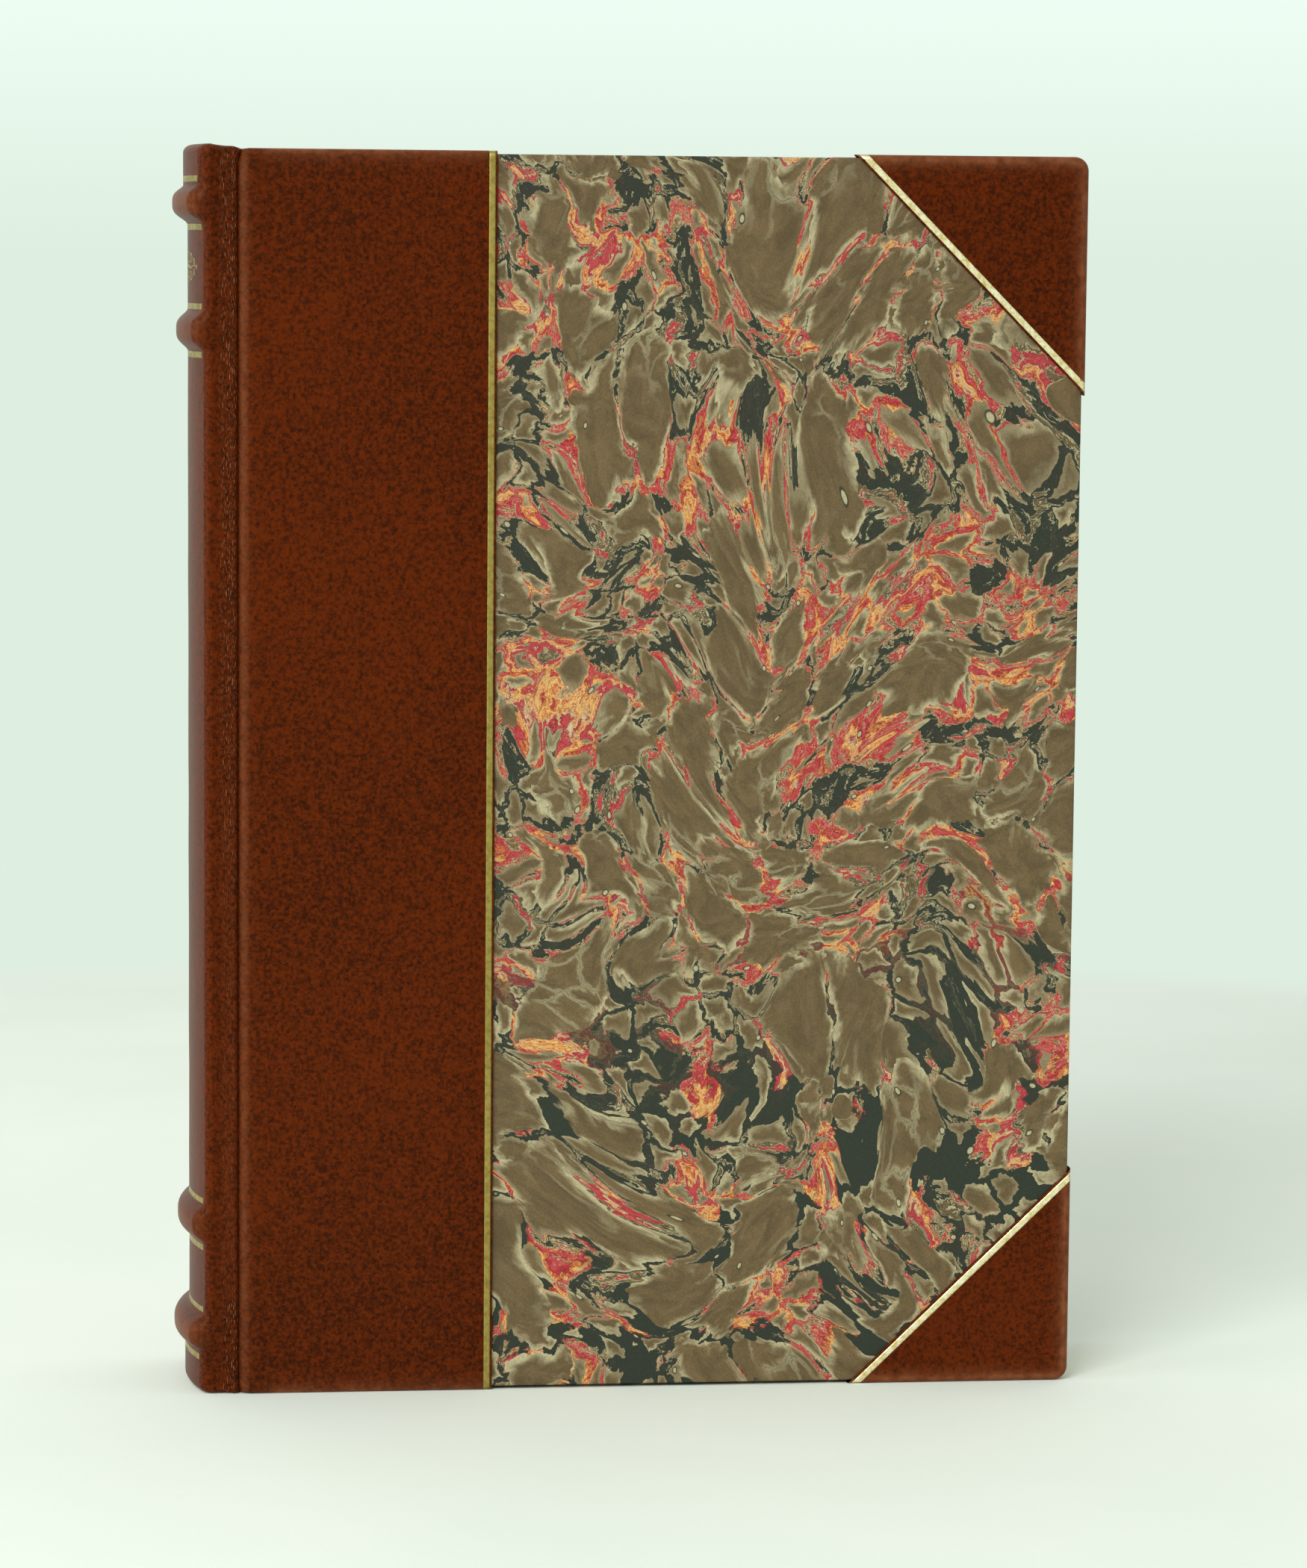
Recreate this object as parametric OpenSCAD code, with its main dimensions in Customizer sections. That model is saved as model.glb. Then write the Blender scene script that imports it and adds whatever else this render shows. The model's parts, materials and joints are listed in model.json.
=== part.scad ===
// Half-leather book with marbled paper sides, standing on its tail edges.
// X runs to the fore edge, Y from the front cover to the back cover, Z from tail to head.

/* [Book] */
// Height of the covers
board_h = 246; // [180:1:320]
// Width of a side from its crease to the fore edge
side_w = 167.4; // [130:0.2:230]
// Thickness of the closed book
book_t = 35; // [28:0.5:60]
// How far the covers stand past the pages at head, tail and fore edge
square_w = 3.5; // [2:0.1:6]

/* [Covers] */
// Thickness of a cover's board
board_t = 3; // [2:0.1:4]
// Thickness of the leather on the outside
leather_t = 0.9; // [0.6:0.05:1.4]
// Thickness of the leather where it is turned in
turn_in_t = 0.35; // [0.3:0.05:0.6]
// Width of the turn-ins
turn_in_w = 15; // [10:0.5:22]
// Thickness of the marbled paper
paper_t = 0.25; // [0.15:0.05:0.4]
// Thickness of the pasted-down and the free endpapers
endpaper_t = 0.25; // [0.15:0.05:0.4]
// Inset of the pasted-down endpaper from the cover's edges
pastedown_inset = 4; // [3:0.5:8]
// Radius of a cover's corners at the fore edge
corner_r = 2.8; // [2.2:0.1:6]
// Rounding of a cover's edges
edge_r = 1.1; // [0.7:0.05:1.5]
// Clearance between a cover and the endpaper beside it
cover_clear = 0.3; // [0.2:0.05:0.8]

/* [Half leather] */
// Width of the spine leather on a side
side_leather_w = 50.4; // [30:0.2:70]
// Leg of the head corner along the head
head_corner_w = 46.5; // [25:0.5:60]
// Leg of the head corner along the fore edge
head_corner_h = 47; // [25:0.5:60]
// Leg of the tail corner along the tail
tail_corner_w = 45; // [25:0.5:60]
// Leg of the tail corner along the fore edge
tail_corner_h = 43.5; // [25:0.5:60]

/* [Gilding] */
// Width of the gilt lines on the sides
side_line_w = 1.25; // [0.6:0.05:2.5]
// Bare leather between a gilt line and the leather's edge
line_margin = 0.4; // [0.2:0.05:1.5]
// Width of the gilt fillets on the spine
fillet_w = 1.2; // [0.6:0.05:2]
// Gap between the foot of a raised band and its fillets
fillet_gap = 0.05; // [0:0.05:0.6]
// Distance from the spine's sides to the fillets' ends
fillet_inset = 3.9; // [3.2:0.1:8]
// Depth of the gold in the leather
gilt_t = 0.12; // [0.08:0.02:0.3]

/* [Spine] */
// Rise of the rounded spine from its edges to its middle
spine_round = 3.2; // [2:0.1:6]
// Run of leather between the spine's edge and the crease
joint_run = 6.3; // [5.4:0.1:9]
// How far the spine's sides lie below the covers' faces
joint_drop = 0.6; // [0.5:0.05:1.2]
// Depth of the hollow that the leather sinks into along the joint
joint_dip = 0.3; // [0.1:0.05:0.4]
// Rounding of the spine's edges
spine_edge_r = 1.6; // [1:0.1:2.4]
// Half of the open crease, on the spine's side of the hinge line
crease_gap = 0.3; // [0.2:0.05:0.6]
// Rounding of a cover's edge down into the crease
crease_r = 1.6; // [1.5:0.1:2.2]
// Thickness of the card that stiffens the spine
stiffener_t = 1.8; // [1:0.1:2.2]
// Clearance of the hollow back
hollow_gap = 0.2; // [0.1:0.05:0.6]
// Thickness of the cloth lining on the pages' back
lining_t = 0.5; // [0.3:0.05:0.7]
// Distance from the pages' ends to the lining's ends
lining_inset = 10; // [9.5:0.5:20]
// How far the spine's head stands above the covers
cap_rise = 0.8; // [0.3:0.1:1.5]
// Thickening of the spine's two ends by the turned-in leather, up to the end bands
cap_flare = 0.85; // [0.4:0.05:1.2]
// Rounding of the spine's two ends
cap_r = 1.5; // [0.8:0.1:2]

/* [Raised bands] */
// Height of the bands at head and tail above the spine
end_band_h = 3; // [1.8:0.1:4]
// Height of the two bands between them
inner_band_h = 2.3; // [1.2:0.1:4]
// Width of a band over the leather
band_w = 8; // [6:0.1:10]
// Middle of the upper head band below the head
band_head_1 = 10.6; // [10:0.2:16]
// Middle of the lower head band below the head
band_head_2 = 35.7; // [30:0.2:60]
// Middle of the lower tail band above the tail
band_tail_1 = 12.3; // [10:0.2:16]
// Middle of the upper tail band above the tail
band_tail_2 = 34; // [30:0.2:60]

/* [Pages] */
// Depth of the hollow fore edge
fore_hollow = 2.6; // [1:0.1:4]
// Thickness of the pages at the tips of the shoulders
shoulder_t = 1; // [0.6:0.1:1.4]
// Thickness of the endbands at head and tail
endband_d = 1.8; // [1:0.1:1.9]
// Length of the endbands' cloth down the pages' back
endband_skirt = 8; // [4:0.5:9]

/* [Hidden] */
$fn = 96;
// Facets of the large arcs
arc_fn = 360;

leather_color = [0.39, 0.15, 0.05];
paper_color = [0.45, 0.37, 0.25];
gold_color = [0.78, 0.66, 0.34];
page_color = [0.93, 0.89, 0.78];
card_color = [0.62, 0.55, 0.44];
cloth_color = [0.86, 0.84, 0.78];

// Length that clears the whole book in a cut
far = 2 * (board_h + side_w);
// How far a cut starts outside what it cuts
cut_over = 1;
half_t = book_t / 2;

// Spine arc through both edges of the spine and its middle
spine_half = half_t - joint_drop;
spine_r = (pow(spine_half, 2) + pow(spine_round, 2)) / (2 * spine_round);
arc_x = spine_r - joint_run - spine_round;
spine_h = board_h + cap_rise;
band_reach = max(end_band_h, inner_band_h);
spine_reach = joint_run + spine_round + band_reach;
// Half of the book's width, band to fore edge, lies on each side of the origin
origin_x = (side_w - spine_reach) / 2;

// Layers of the spine, from the leather's face inwards
stiffener_r = spine_r - leather_t;
stiffener_in_r = stiffener_r - stiffener_t;
lining_r = stiffener_in_r - turn_in_t - hollow_gap;
pages_r = lining_r - lining_t;
inner_half = spine_half - leather_t;
inner_edge_r = max(0.2, spine_edge_r - leather_t);
shoulder_clear = 0.1;
pages_half = inner_half - turn_in_t - shoulder_clear;

// Layers of a cover, from its face inwards
board_back = leather_t + board_t;
cover_t = board_back + turn_in_t + endpaper_t;
block_half = half_t - cover_t - cover_clear - endpaper_t;

// Pages, with shoulders that stand out beside the covers
block_x = side_w - square_w;
block_h = board_h - 2 * square_w;
shoulder_x = arc_x - sqrt(pow(pages_r, 2) - pow(pages_half, 2)) + shoulder_t;
shoulder_r = min(-crease_gap - shoulder_x, pages_half - block_half - 0.2);

// Bands from the tail to the head
band_z = [band_tail_1, band_tail_2, board_h - band_head_2, board_h - band_head_1];
band_h = [end_band_h, inner_band_h, inner_band_h, end_band_h];
// Bands inside the leather are narrower than outside it
core_w = band_w - 2 * leather_t;
band_steps = 16;
// How deep the foot of the relief lies in the leather
relief_sink = 0.04;
// How far the rounding of the bands' edges stands off their tops
edge_clear = 0.3;
fillet_off = band_w / 2 + fillet_gap + fillet_w / 2;
end_r = spine_r + cap_flare;

// Bell outline of height h and width w on a cylinder of radius r
function bell(r, h, w) = [for (i = [0:band_steps]) let (t = 2 * i / band_steps - 1)
  [r + h * (1 + cos(180 * t)) / 2, t * w / 2]];

// Outline of a thickened end that is rounded at z = 0 and runs up under its band
function end_outline(run) = concat(
  [[spine_r - leather_t / 2 - cap_r, run], [spine_r - leather_t / 2 - cap_r, 0]],
  [for (a = [0:15:90]) [end_r - cap_r + cap_r * sin(a), cap_r - cap_r * cos(a)]],
  [[end_r, run]]
);

// Rectangle with four rounded corners
module round_rect(x, y, w, h, r) {
  translate([x + r, y]) square([w - 2 * r, h]);
  translate([x, y + r]) square([w, h - 2 * r]);
  for (cx = [x + r, x + w - r], cy = [y + r, y + h - r]) translate([cx, cy]) circle(r);
}

// Box between two corners
module block(low, high) {
  translate(low) cube(high - low);
}

module book() {
  translate([-origin_x, 0, 0]) children();
}

// A front cover is drawn with X from its crease, Y from its face inwards and Z from its tail
module front() {
  translate([-origin_x, -half_t, 0]) children();
}

module back() {
  mirror([0, 1, 0]) front() children();
}

// Disc about the spine arc's centre, cut flat at both sides and at x = end_x
module arc_disc(radius, half_w, end_x) {
  intersection() {
    translate([arc_x, 0]) circle(radius, $fn = arc_fn);
    translate([end_x - far, -half_w]) square([far, 2 * half_w]);
  }
}

// The same disc with its two edges rounded
module arc_plan(radius, half_w, edge, end_x) {
  edge_y = half_w - edge;
  edge_x = arc_x - sqrt(pow(radius - edge, 2) - pow(edge_y, 2));
  reach = 1.8 * edge;
  difference() {
    arc_disc(radius, half_w, end_x);
    for (side = [-1, 1]) {
      middle = [edge_x, side * edge_y];
      out = (middle - [arc_x, 0]) / (radius - edge);
      diagonal = (out + [0, side]) / norm(out + [0, side]);
      difference() {
        polygon([middle, middle + [0, side * reach], middle + diagonal * 1.3 * reach, middle + out * reach]);
        translate(middle) circle(edge);
      }
    }
  }
}

// Outline in radius and height, turned about the spine arc's centre within half_w of the middle
module turned(half_w) {
  sweep = asin(min(1, (half_w + cut_over) / pages_r));
  intersection() {
    translate([arc_x, 0, 0]) rotate([0, 0, 180 - sweep])
      rotate_extrude(angle = 2 * sweep, $fn = arc_fn) children();
    block([-far, -half_w, -cut_over], [far, half_w, far]);
  }
}

// Plan of the spine leather: rounded back, hollow joints and lips that drop into the creases
module spine_plan() {
  lip_r = 0.9 * leather_t;
  dip_w = joint_run - crease_gap - lip_r - spine_edge_r;
  dip_r = (pow(dip_w / 2, 2) + pow(joint_dip, 2)) / (2 * joint_dip);
  lip_x = -crease_gap - lip_r;
  difference() {
    arc_plan(spine_r, spine_half, spine_edge_r, -crease_gap);
    for (side = [0, 1]) mirror([0, side]) {
      translate([lip_x - dip_w / 2, spine_half + dip_r - joint_dip]) circle(dip_r, $fn = arc_fn);
      difference() {
        translate([lip_x, spine_half - lip_r]) square(2 * lip_r);
        translate([lip_x, spine_half - lip_r]) circle(lip_r);
      }
    }
  }
}

// The spine's own form, with rounded ends
module spine_form() {
  intersection() {
    linear_extrude(spine_h) spine_plan();
    translate([arc_x, 0, 0]) rotate_extrude($fn = arc_fn) {
      square([spine_r - cap_r, spine_h]);
      translate([0, cap_r]) square([spine_r, spine_h - 2 * cap_r]);
      for (z = [cap_r, spine_h - cap_r]) translate([spine_r - cap_r, z]) circle(cap_r);
    }
    rotate([90, 0, 90]) translate([0, 0, -far / 2]) linear_extrude(far)
      round_rect(-spine_half, 0, 2 * spine_half, spine_h, cap_r);
  }
}

// Raised bands and thickened ends, which sink into the spine's back and sides
module spine_relief() {
  foot_r = spine_r - leather_t / 2;
  half_w = spine_half - relief_sink;
  intersection() {
    turned(half_w) {
      for (i = [0:3]) translate([0, band_z[i]]) polygon(concat(
        [[foot_r, band_w / 2], [foot_r, -band_w / 2]],
        bell(spine_r - relief_sink, band_h[i] + relief_sink, band_w)
      ));
      translate([0, relief_sink]) polygon(end_outline(band_tail_1 - band_w / 5));
      translate([0, spine_h - relief_sink]) mirror([0, 1])
        polygon(end_outline(band_head_1 + cap_rise - band_w / 5));
    }
    // Round edges, cut clear of the bands' tops and flat sides
    linear_extrude(spine_h)
      arc_plan(spine_r + band_reach + edge_clear, half_w + relief_sink / 2, 2 * spine_edge_r, 0);
  }
}

// Card along the rounded back, which ends under the turned-in leather
module stiffener_form() {
  translate([0, 0, leather_t]) linear_extrude(spine_h - 2 * leather_t) difference() {
    arc_plan(stiffener_r, inner_half, inner_edge_r, 0);
    translate([arc_x, 0]) circle(stiffener_in_r, $fn = arc_fn);
  }
}

// Raised band on the stiffener, with the given number from the tail
module core_form(i) {
  intersection() {
    turned(inner_half) translate([0, band_z[i]]) polygon(bell(stiffener_r, band_h[i], core_w));
    linear_extrude(spine_h) arc_plan(stiffener_r + band_reach + edge_clear, inner_half, 2 * spine_edge_r, 0);
  }
}

// Gold strips beside the bands, in the leather's face
module fillet_form() {
  turned(spine_half - fillet_inset) for (i = [0:3], side = [-1, 1]) {
    outer = (i == 0 && side < 0) || (i == 3 && side > 0);
    translate([(outer ? end_r : spine_r) - gilt_t, band_z[i] + side * fillet_off - fillet_w / 2])
      square([gilt_t, fillet_w]);
  }
}

module spine_leather() {
  color(leather_color) difference() {
    union() {
      spine_form();
      spine_relief();
    }
    stiffener_form();
    for (i = [0:3]) core_form(i);
    fillet_form();
    // Behind the turned-in ends
    translate([0, 0, -cut_over]) linear_extrude(spine_h + 2 * cut_over)
      arc_disc(stiffener_in_r - turn_in_t, inner_half - turn_in_t, cut_over);
    // Between the turned-in ends
    translate([0, 0, turn_in_w]) linear_extrude(spine_h - 2 * turn_in_w)
      arc_disc(stiffener_in_r, inner_half, cut_over);
  }
}

module spine_fillets() {
  color(gold_color) fillet_form();
}

module spine_stiffener() {
  color(card_color) stiffener_form();
}

module band_core(i) {
  color(card_color) core_form(i);
}

module spine_lining() {
  color(cloth_color) translate([0, 0, square_w + lining_inset]) linear_extrude(block_h - 2 * lining_inset)
    difference() {
      arc_disc(lining_r, pages_half, 0);
      translate([arc_x, 0]) circle(pages_r, $fn = arc_fn);
    }
}

// Sewn band on the pages' head, with its cloth glued down the back
module endband() {
  color(cloth_color) turned(block_half) {
    translate([lining_r - endband_d / 2, block_h / 2 + endband_d / 2]) circle(endband_d / 2);
    translate([pages_r, block_h / 2 - endband_skirt]) square([lining_t, endband_skirt + endband_d / 2]);
  }
}

// Pages as one block: rounded back with shoulders, hollow fore edge
module text_block() {
  shoulder_y = block_half + shoulder_r;
  hollow_r = (pow(block_half, 2) + pow(fore_hollow, 2)) / (2 * fore_hollow);
  color(page_color) translate([0, 0, square_w]) linear_extrude(block_h) difference() {
    union() {
      arc_disc(pages_r, pages_half, -crease_gap);
      translate([shoulder_x, -block_half]) square([block_x - shoulder_x, 2 * block_half]);
    }
    for (side = [0, 1]) mirror([0, side]) {
      translate([shoulder_x, shoulder_y]) square([far, far]);
      translate([shoulder_x + shoulder_r, shoulder_y]) circle(shoulder_r);
      translate([shoulder_x + shoulder_r, block_half]) square([far, far]);
    }
    translate([block_x - fore_hollow + hollow_r, 0]) circle(hollow_r, $fn = arc_fn);
  }
}

// Free endpaper against the pages, on the side of the front cover
module flyleaf() {
  color(page_color) block([0, -block_half - endpaper_t, square_w], [block_x, -block_half, square_w + block_h]);
}

// A cover's outer form with all its faces inset, up to the depth back_y
module cover_form(inset, back_y) {
  rim = max(0.15, edge_r - inset);
  corner = corner_r - inset;
  hinge = crease_r - inset;
  wide = side_w - 2 * inset;
  high = board_h - 2 * inset;
  deep = back_y - inset;
  intersection() {
    // Plan, with the round edge into the crease and the round fore edge
    linear_extrude(board_h) {
      translate([inset + hinge, inset]) square([wide - hinge - rim, deep]);
      translate([inset, inset + hinge]) square([wide / 2, deep - hinge]);
      translate([inset + hinge, inset + hinge]) circle(hinge);
      translate([side_w - inset - rim, inset + rim]) square([rim, deep - 2 * rim]);
      for (y = [inset + rim, back_y - rim]) translate([side_w - inset - rim, y]) circle(rim);
    }
    // Outline, with round corners at the fore edge
    rotate([90, 0, 0]) translate([0, 0, -back_y]) linear_extrude(back_y) {
      round_rect(inset, inset, wide, high, corner);
      translate([inset, inset]) square([wide / 2, high]);
    }
    // Section, with round edges at head and tail
    rotate([90, 0, 90]) linear_extrude(side_w) round_rect(inset, inset, deep, high, rim);
  }
}

module board_form() {
  cover_form(leather_t, board_back);
}

// Upright prism through the cover under an outline in X and Z
module through(depth) {
  rotate([90, 0, 0]) translate([0, 0, -depth]) linear_extrude(depth + cut_over) children();
}

// Line of the head corner, at a distance from its edge, and everything beyond it
module head_corner_side(dist) {
  slope = atan2(head_corner_h, head_corner_w);
  translate([side_w - head_corner_w, board_h]) rotate(-slope) translate([-far / 2, dist]) square(far);
}

module tail_corner_side(dist) {
  slope = atan2(tail_corner_h, tail_corner_w);
  translate([side_w - tail_corner_w, 0]) rotate(slope) translate([-far / 2, -far - dist]) square(far);
}

module side_leather_side(dist) {
  translate([side_leather_w - dist - far, -far / 2]) square(far);
}

// Gold let into the leather's face along its edge, over the rounding of the cover's edges
module gilt_line() {
  intersection() {
    difference() {
      cover_form(0, board_back);
      cover_form(gilt_t, far);
    }
    through(edge_r) children();
  }
}

module side_line() {
  gilt_line() difference() {
    side_leather_side(line_margin);
    side_leather_side(line_margin + side_line_w);
  }
}

module head_corner_line() {
  gilt_line() difference() {
    head_corner_side(line_margin);
    head_corner_side(line_margin + side_line_w);
  }
}

module tail_corner_line() {
  gilt_line() difference() {
    tail_corner_side(line_margin);
    tail_corner_side(line_margin + side_line_w);
  }
}

// Opening between the turn-ins on a cover's inner side
module turn_in_window() {
  block([-cut_over, board_back - turn_in_t, turn_in_w], [side_w - turn_in_w, far, board_h - turn_in_w]);
}

// Leather over the board within an outline, turned in over the board's edges
module leather_over() {
  difference() {
    intersection() {
      cover_form(0, board_back + turn_in_t);
      through(far) children();
    }
    board_form();
    turn_in_window();
  }
}

module side_leather() {
  color(leather_color) difference() {
    leather_over() side_leather_side(0);
    side_line();
    // Beside the shoulder the leather only reaches down into the crease
    block([-cut_over, crease_r + leather_t / 2, -cut_over], [leather_t, far, far]);
  }
}

module head_corner() {
  color(leather_color) difference() {
    leather_over() head_corner_side(0);
    head_corner_line();
  }
}

module tail_corner() {
  color(leather_color) difference() {
    leather_over() tail_corner_side(0);
    tail_corner_line();
  }
}

// Marbled paper between the leathers, thinner than they are
module marbled_paper() {
  color(paper_color) difference() {
    cover_form(leather_t - paper_t, board_back + paper_t);
    board_form();
    turn_in_window();
    through(far) {
      side_leather_side(0);
      head_corner_side(0);
      tail_corner_side(0);
    }
  }
}

module gilt_lines() {
  color(gold_color) {
    side_line();
    head_corner_line();
    tail_corner_line();
  }
}

module cover_board() {
  color(card_color) board_form();
}

// Endpaper pasted over the board and its turn-ins, which show through as a step
module pastedown() {
  low = pastedown_inset;
  high = board_h - pastedown_inset;
  step = turn_in_w + endpaper_t;
  color(page_color) difference() {
    block([crease_gap, board_back, low], [side_w - pastedown_inset, cover_t, high]);
    block([-cut_over, board_back + endpaper_t, step], [side_w - step, far, board_h - step]);
    difference() {
      block([-cut_over, -cut_over, -cut_over], [far, board_back + turn_in_t, far]);
      turn_in_window();
    }
  }
}

book() text_block();
book() flyleaf();  // front_flyleaf
book() mirror([0, 1, 0]) flyleaf();  // back_flyleaf
book() translate([0, 0, board_h / 2]) endband();  // head_endband
book() translate([0, 0, board_h / 2]) mirror([0, 0, 1]) endband();  // tail_endband
book() spine_lining();
book() spine_stiffener();
book() band_core(0);  // band_core_1
book() band_core(1);  // band_core_2
book() band_core(2);  // band_core_3
book() band_core(3);  // band_core_4
book() spine_leather();
book() spine_fillets();
front() cover_board();  // front_board
front() side_leather();  // front_side_leather
front() marbled_paper();  // front_marbled_paper
front() head_corner();  // front_head_corner
front() tail_corner();  // front_tail_corner
front() gilt_lines();  // front_gilt_lines
front() pastedown();  // front_pastedown
back() cover_board();  // back_board
back() side_leather();  // back_side_leather
back() marbled_paper();  // back_marbled_paper
back() head_corner();  // back_head_corner
back() tail_corner();  // back_tail_corner
back() gilt_lines();  // back_gilt_lines
back() pastedown();  // back_pastedown
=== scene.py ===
import json
import math

import bmesh
import bpy
import mathutils
import numpy as np
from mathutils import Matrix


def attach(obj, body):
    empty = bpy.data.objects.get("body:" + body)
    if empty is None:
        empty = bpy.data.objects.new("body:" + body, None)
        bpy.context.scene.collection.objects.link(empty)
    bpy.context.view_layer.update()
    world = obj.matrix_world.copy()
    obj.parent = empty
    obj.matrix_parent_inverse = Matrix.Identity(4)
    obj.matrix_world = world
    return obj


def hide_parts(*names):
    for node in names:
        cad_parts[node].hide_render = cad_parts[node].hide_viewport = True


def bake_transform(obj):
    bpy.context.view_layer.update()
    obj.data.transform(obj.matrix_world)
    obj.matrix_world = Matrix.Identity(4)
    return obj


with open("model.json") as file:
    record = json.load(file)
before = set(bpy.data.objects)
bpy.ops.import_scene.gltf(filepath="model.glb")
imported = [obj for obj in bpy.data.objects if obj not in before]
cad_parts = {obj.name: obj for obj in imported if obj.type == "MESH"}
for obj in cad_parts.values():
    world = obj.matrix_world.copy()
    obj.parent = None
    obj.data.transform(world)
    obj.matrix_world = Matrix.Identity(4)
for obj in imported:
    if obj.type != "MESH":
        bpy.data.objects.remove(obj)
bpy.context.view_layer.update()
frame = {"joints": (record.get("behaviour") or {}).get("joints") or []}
scene = bpy.context.scene
print("frame loaded")

# Lengths are millimetres here and become metres in the meshes. "across" runs from a cover's crease to its
# fore edge, "depth" from the cover's face inwards, "high" from the tail edges up.
metre = 0.001
mergeReach, tinyEdge = 2e-6, 1e-7
creaseX = frame["joints"][0]["pos_m"][0]
book = {"high": 246.0, "wide": 167.4, "halfThick": 17.5, "leather": 0.9, "board": 3.0, "turnIn": 0.35,
        "turnInWide": 15.0, "paper": 0.25, "edgeRound": 1.1, "cornerRound": 2.8, "leatherWide": 50.4}
boardBack = book["leather"] + book["board"]
coverThick = boardBack + book["turnIn"]
sides = {"front": -1, "back": 1}


def toFrame(x, y, high):
    # Millimetres from the crease, the book's middle plane and the tail edges to the shared frame
    return np.stack(np.broadcast_arrays(creaseX + x * metre, y * metre, high * metre), axis=-1)


def toRow(side, across, depth, high):
    # Crease coordinates to the shared frame: the front cover has side -1 and the back cover 1
    return toFrame(across, side * (book["halfThick"] - depth), high)


def smooth(t):
    # Smooth step from 0 to 1: three t squared minus two t cubed
    t = np.clip(t, 0, 1)
    return t * t * (3 - 2 * t)


def softNoise(a, b, cellA, cellB, seed):
    # Value noise from -1 to 1: random numbers on a lattice of cellA by cellB, joined by smooth steps
    table = np.random.default_rng(seed).uniform(-1, 1, (64, 512))
    ga, gb = np.broadcast_arrays(a / cellA, b / cellB)
    ia, ib = np.floor(ga).astype(int), np.floor(gb).astype(int)
    fa, fb = smooth(ga - ia), smooth(gb - ib)
    near = table[ia % 64, ib % 512] * (1 - fb) + table[ia % 64, (ib + 1) % 512] * fb
    far = table[(ia + 1) % 64, ib % 512] * (1 - fb) + table[(ia + 1) % 64, (ib + 1) % 512] * fb
    return near * (1 - fa) + far * fa


def gridFaces(rows, columns):
    index = np.arange(rows * columns).reshape(rows, columns)
    corners = [index[:-1, :-1], index[1:, :-1], index[1:, 1:], index[:-1, 1:]]
    return np.stack(corners, axis=-1).reshape(-1, 4)


def faceNormals(points, faces):
    quad = points[faces]
    return np.cross(quad[:, 2] - quad[:, 0], quad[:, 3] - quad[:, 1])


def facing(points, faces, outward):
    # The faces, all turned over if their normals taken together look against outward
    return faces[:, ::-1] if (faceNormals(points, faces) @ np.array(outward)).sum() < 0 else faces


def joinGrids(grids, outwards=None):
    # Several grids as one array of points and one of faces. With outwards, each grid looks along its direction.
    points, faces, start = [], [], 0
    for number, grid in enumerate(grids):
        points.append(grid.reshape(-1, 3))
        own = gridFaces(*grid.shape[:2])
        faces.append((facing(points[-1], own, outwards[number]) if outwards else own) + start)
        start += len(points[-1])
    return np.vstack(points), np.vstack(faces)


def makePiece(name, points, faces, material, fields=None, outward=None, merge=False):
    # Puts whole arrays into a mesh, whose faces taken together look along outward
    points = points.reshape(-1, 3)
    if outward is not None:
        faces = facing(points, faces, outward)
    mesh = bpy.data.meshes.new(name)
    mesh.from_pydata(points.tolist(), [], faces.tolist())
    for field, values in (fields or {}).items():
        if values.size == len(points) * 3:
            mesh.attributes.new(field, "FLOAT_VECTOR", "POINT").data.foreach_set("vector", values.ravel())
        else:
            mesh.attributes.new(field, "FLOAT", "POINT").data.foreach_set("value", values.ravel())
    if merge:
        work = bmesh.new()
        work.from_mesh(mesh)
        bmesh.ops.remove_doubles(work, verts=work.verts, dist=mergeReach)
        bmesh.ops.dissolve_degenerate(work, edges=work.edges, dist=tinyEdge)
        work.to_mesh(mesh)
        work.free()
    mesh.polygons.foreach_set("use_smooth", np.ones(len(mesh.polygons), bool))
    mesh.materials.append(material)
    mesh.update()
    piece = bpy.data.objects.new(name, mesh)
    scene.collection.objects.link(piece)
    return piece


def paint(red, green, blue):
    # Colour written from 0 to 255 as a linear colour
    channel = [c / 255 for c in (red, green, blue)]
    return tuple(c / 12.92 if c <= 0.04045 else ((c + 0.055) / 1.055) ** 2.4 for c in channel) + (1.0,)


def startMaterial(name):
    material = bpy.data.materials.new(name)
    material.use_nodes = True
    return material, material.node_tree, material.node_tree.nodes["Principled BSDF"]


def feed(tree, made, inputs):
    # Each input gets a link where its value is another node's socket, else a constant
    for key, value in inputs.items():
        if isinstance(value, bpy.types.NodeSocket):
            tree.links.new(value, made.inputs[key])
        else:
            made.inputs[key].default_value = value


def put(tree, kind, inputs=None, **settings):
    made = tree.nodes.new("ShaderNode" + kind)
    for key, value in settings.items():
        setattr(made, key, value)
    feed(tree, made, inputs or {})
    return made


def calc(tree, operation, *values):
    return put(tree, "Math", dict(enumerate(values)), operation=operation).outputs[0]


def times(tree, first, second):
    return calc(tree, "MULTIPLY", first, second)


def timesPlus(tree, first, second, third):
    return calc(tree, "MULTIPLY_ADD", first, second, third)


def spread(tree, value, low, high, start=0.0, end=1.0, curve="SMOOTHSTEP"):
    given = {"Value": value, "From Min": low, "From Max": high, "To Min": start, "To Max": end}
    return put(tree, "MapRange", given, interpolation_type=curve).outputs["Result"]


def blendColor(tree, share, first, second, way="MIX"):
    # Sockets 0, 6, 7 and output 2 are the ones that the Mix node uses for colours
    return put(tree, "Mix", {0: share, 6: first, 7: second}, data_type="RGBA", blend_type=way).outputs[2]


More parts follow.
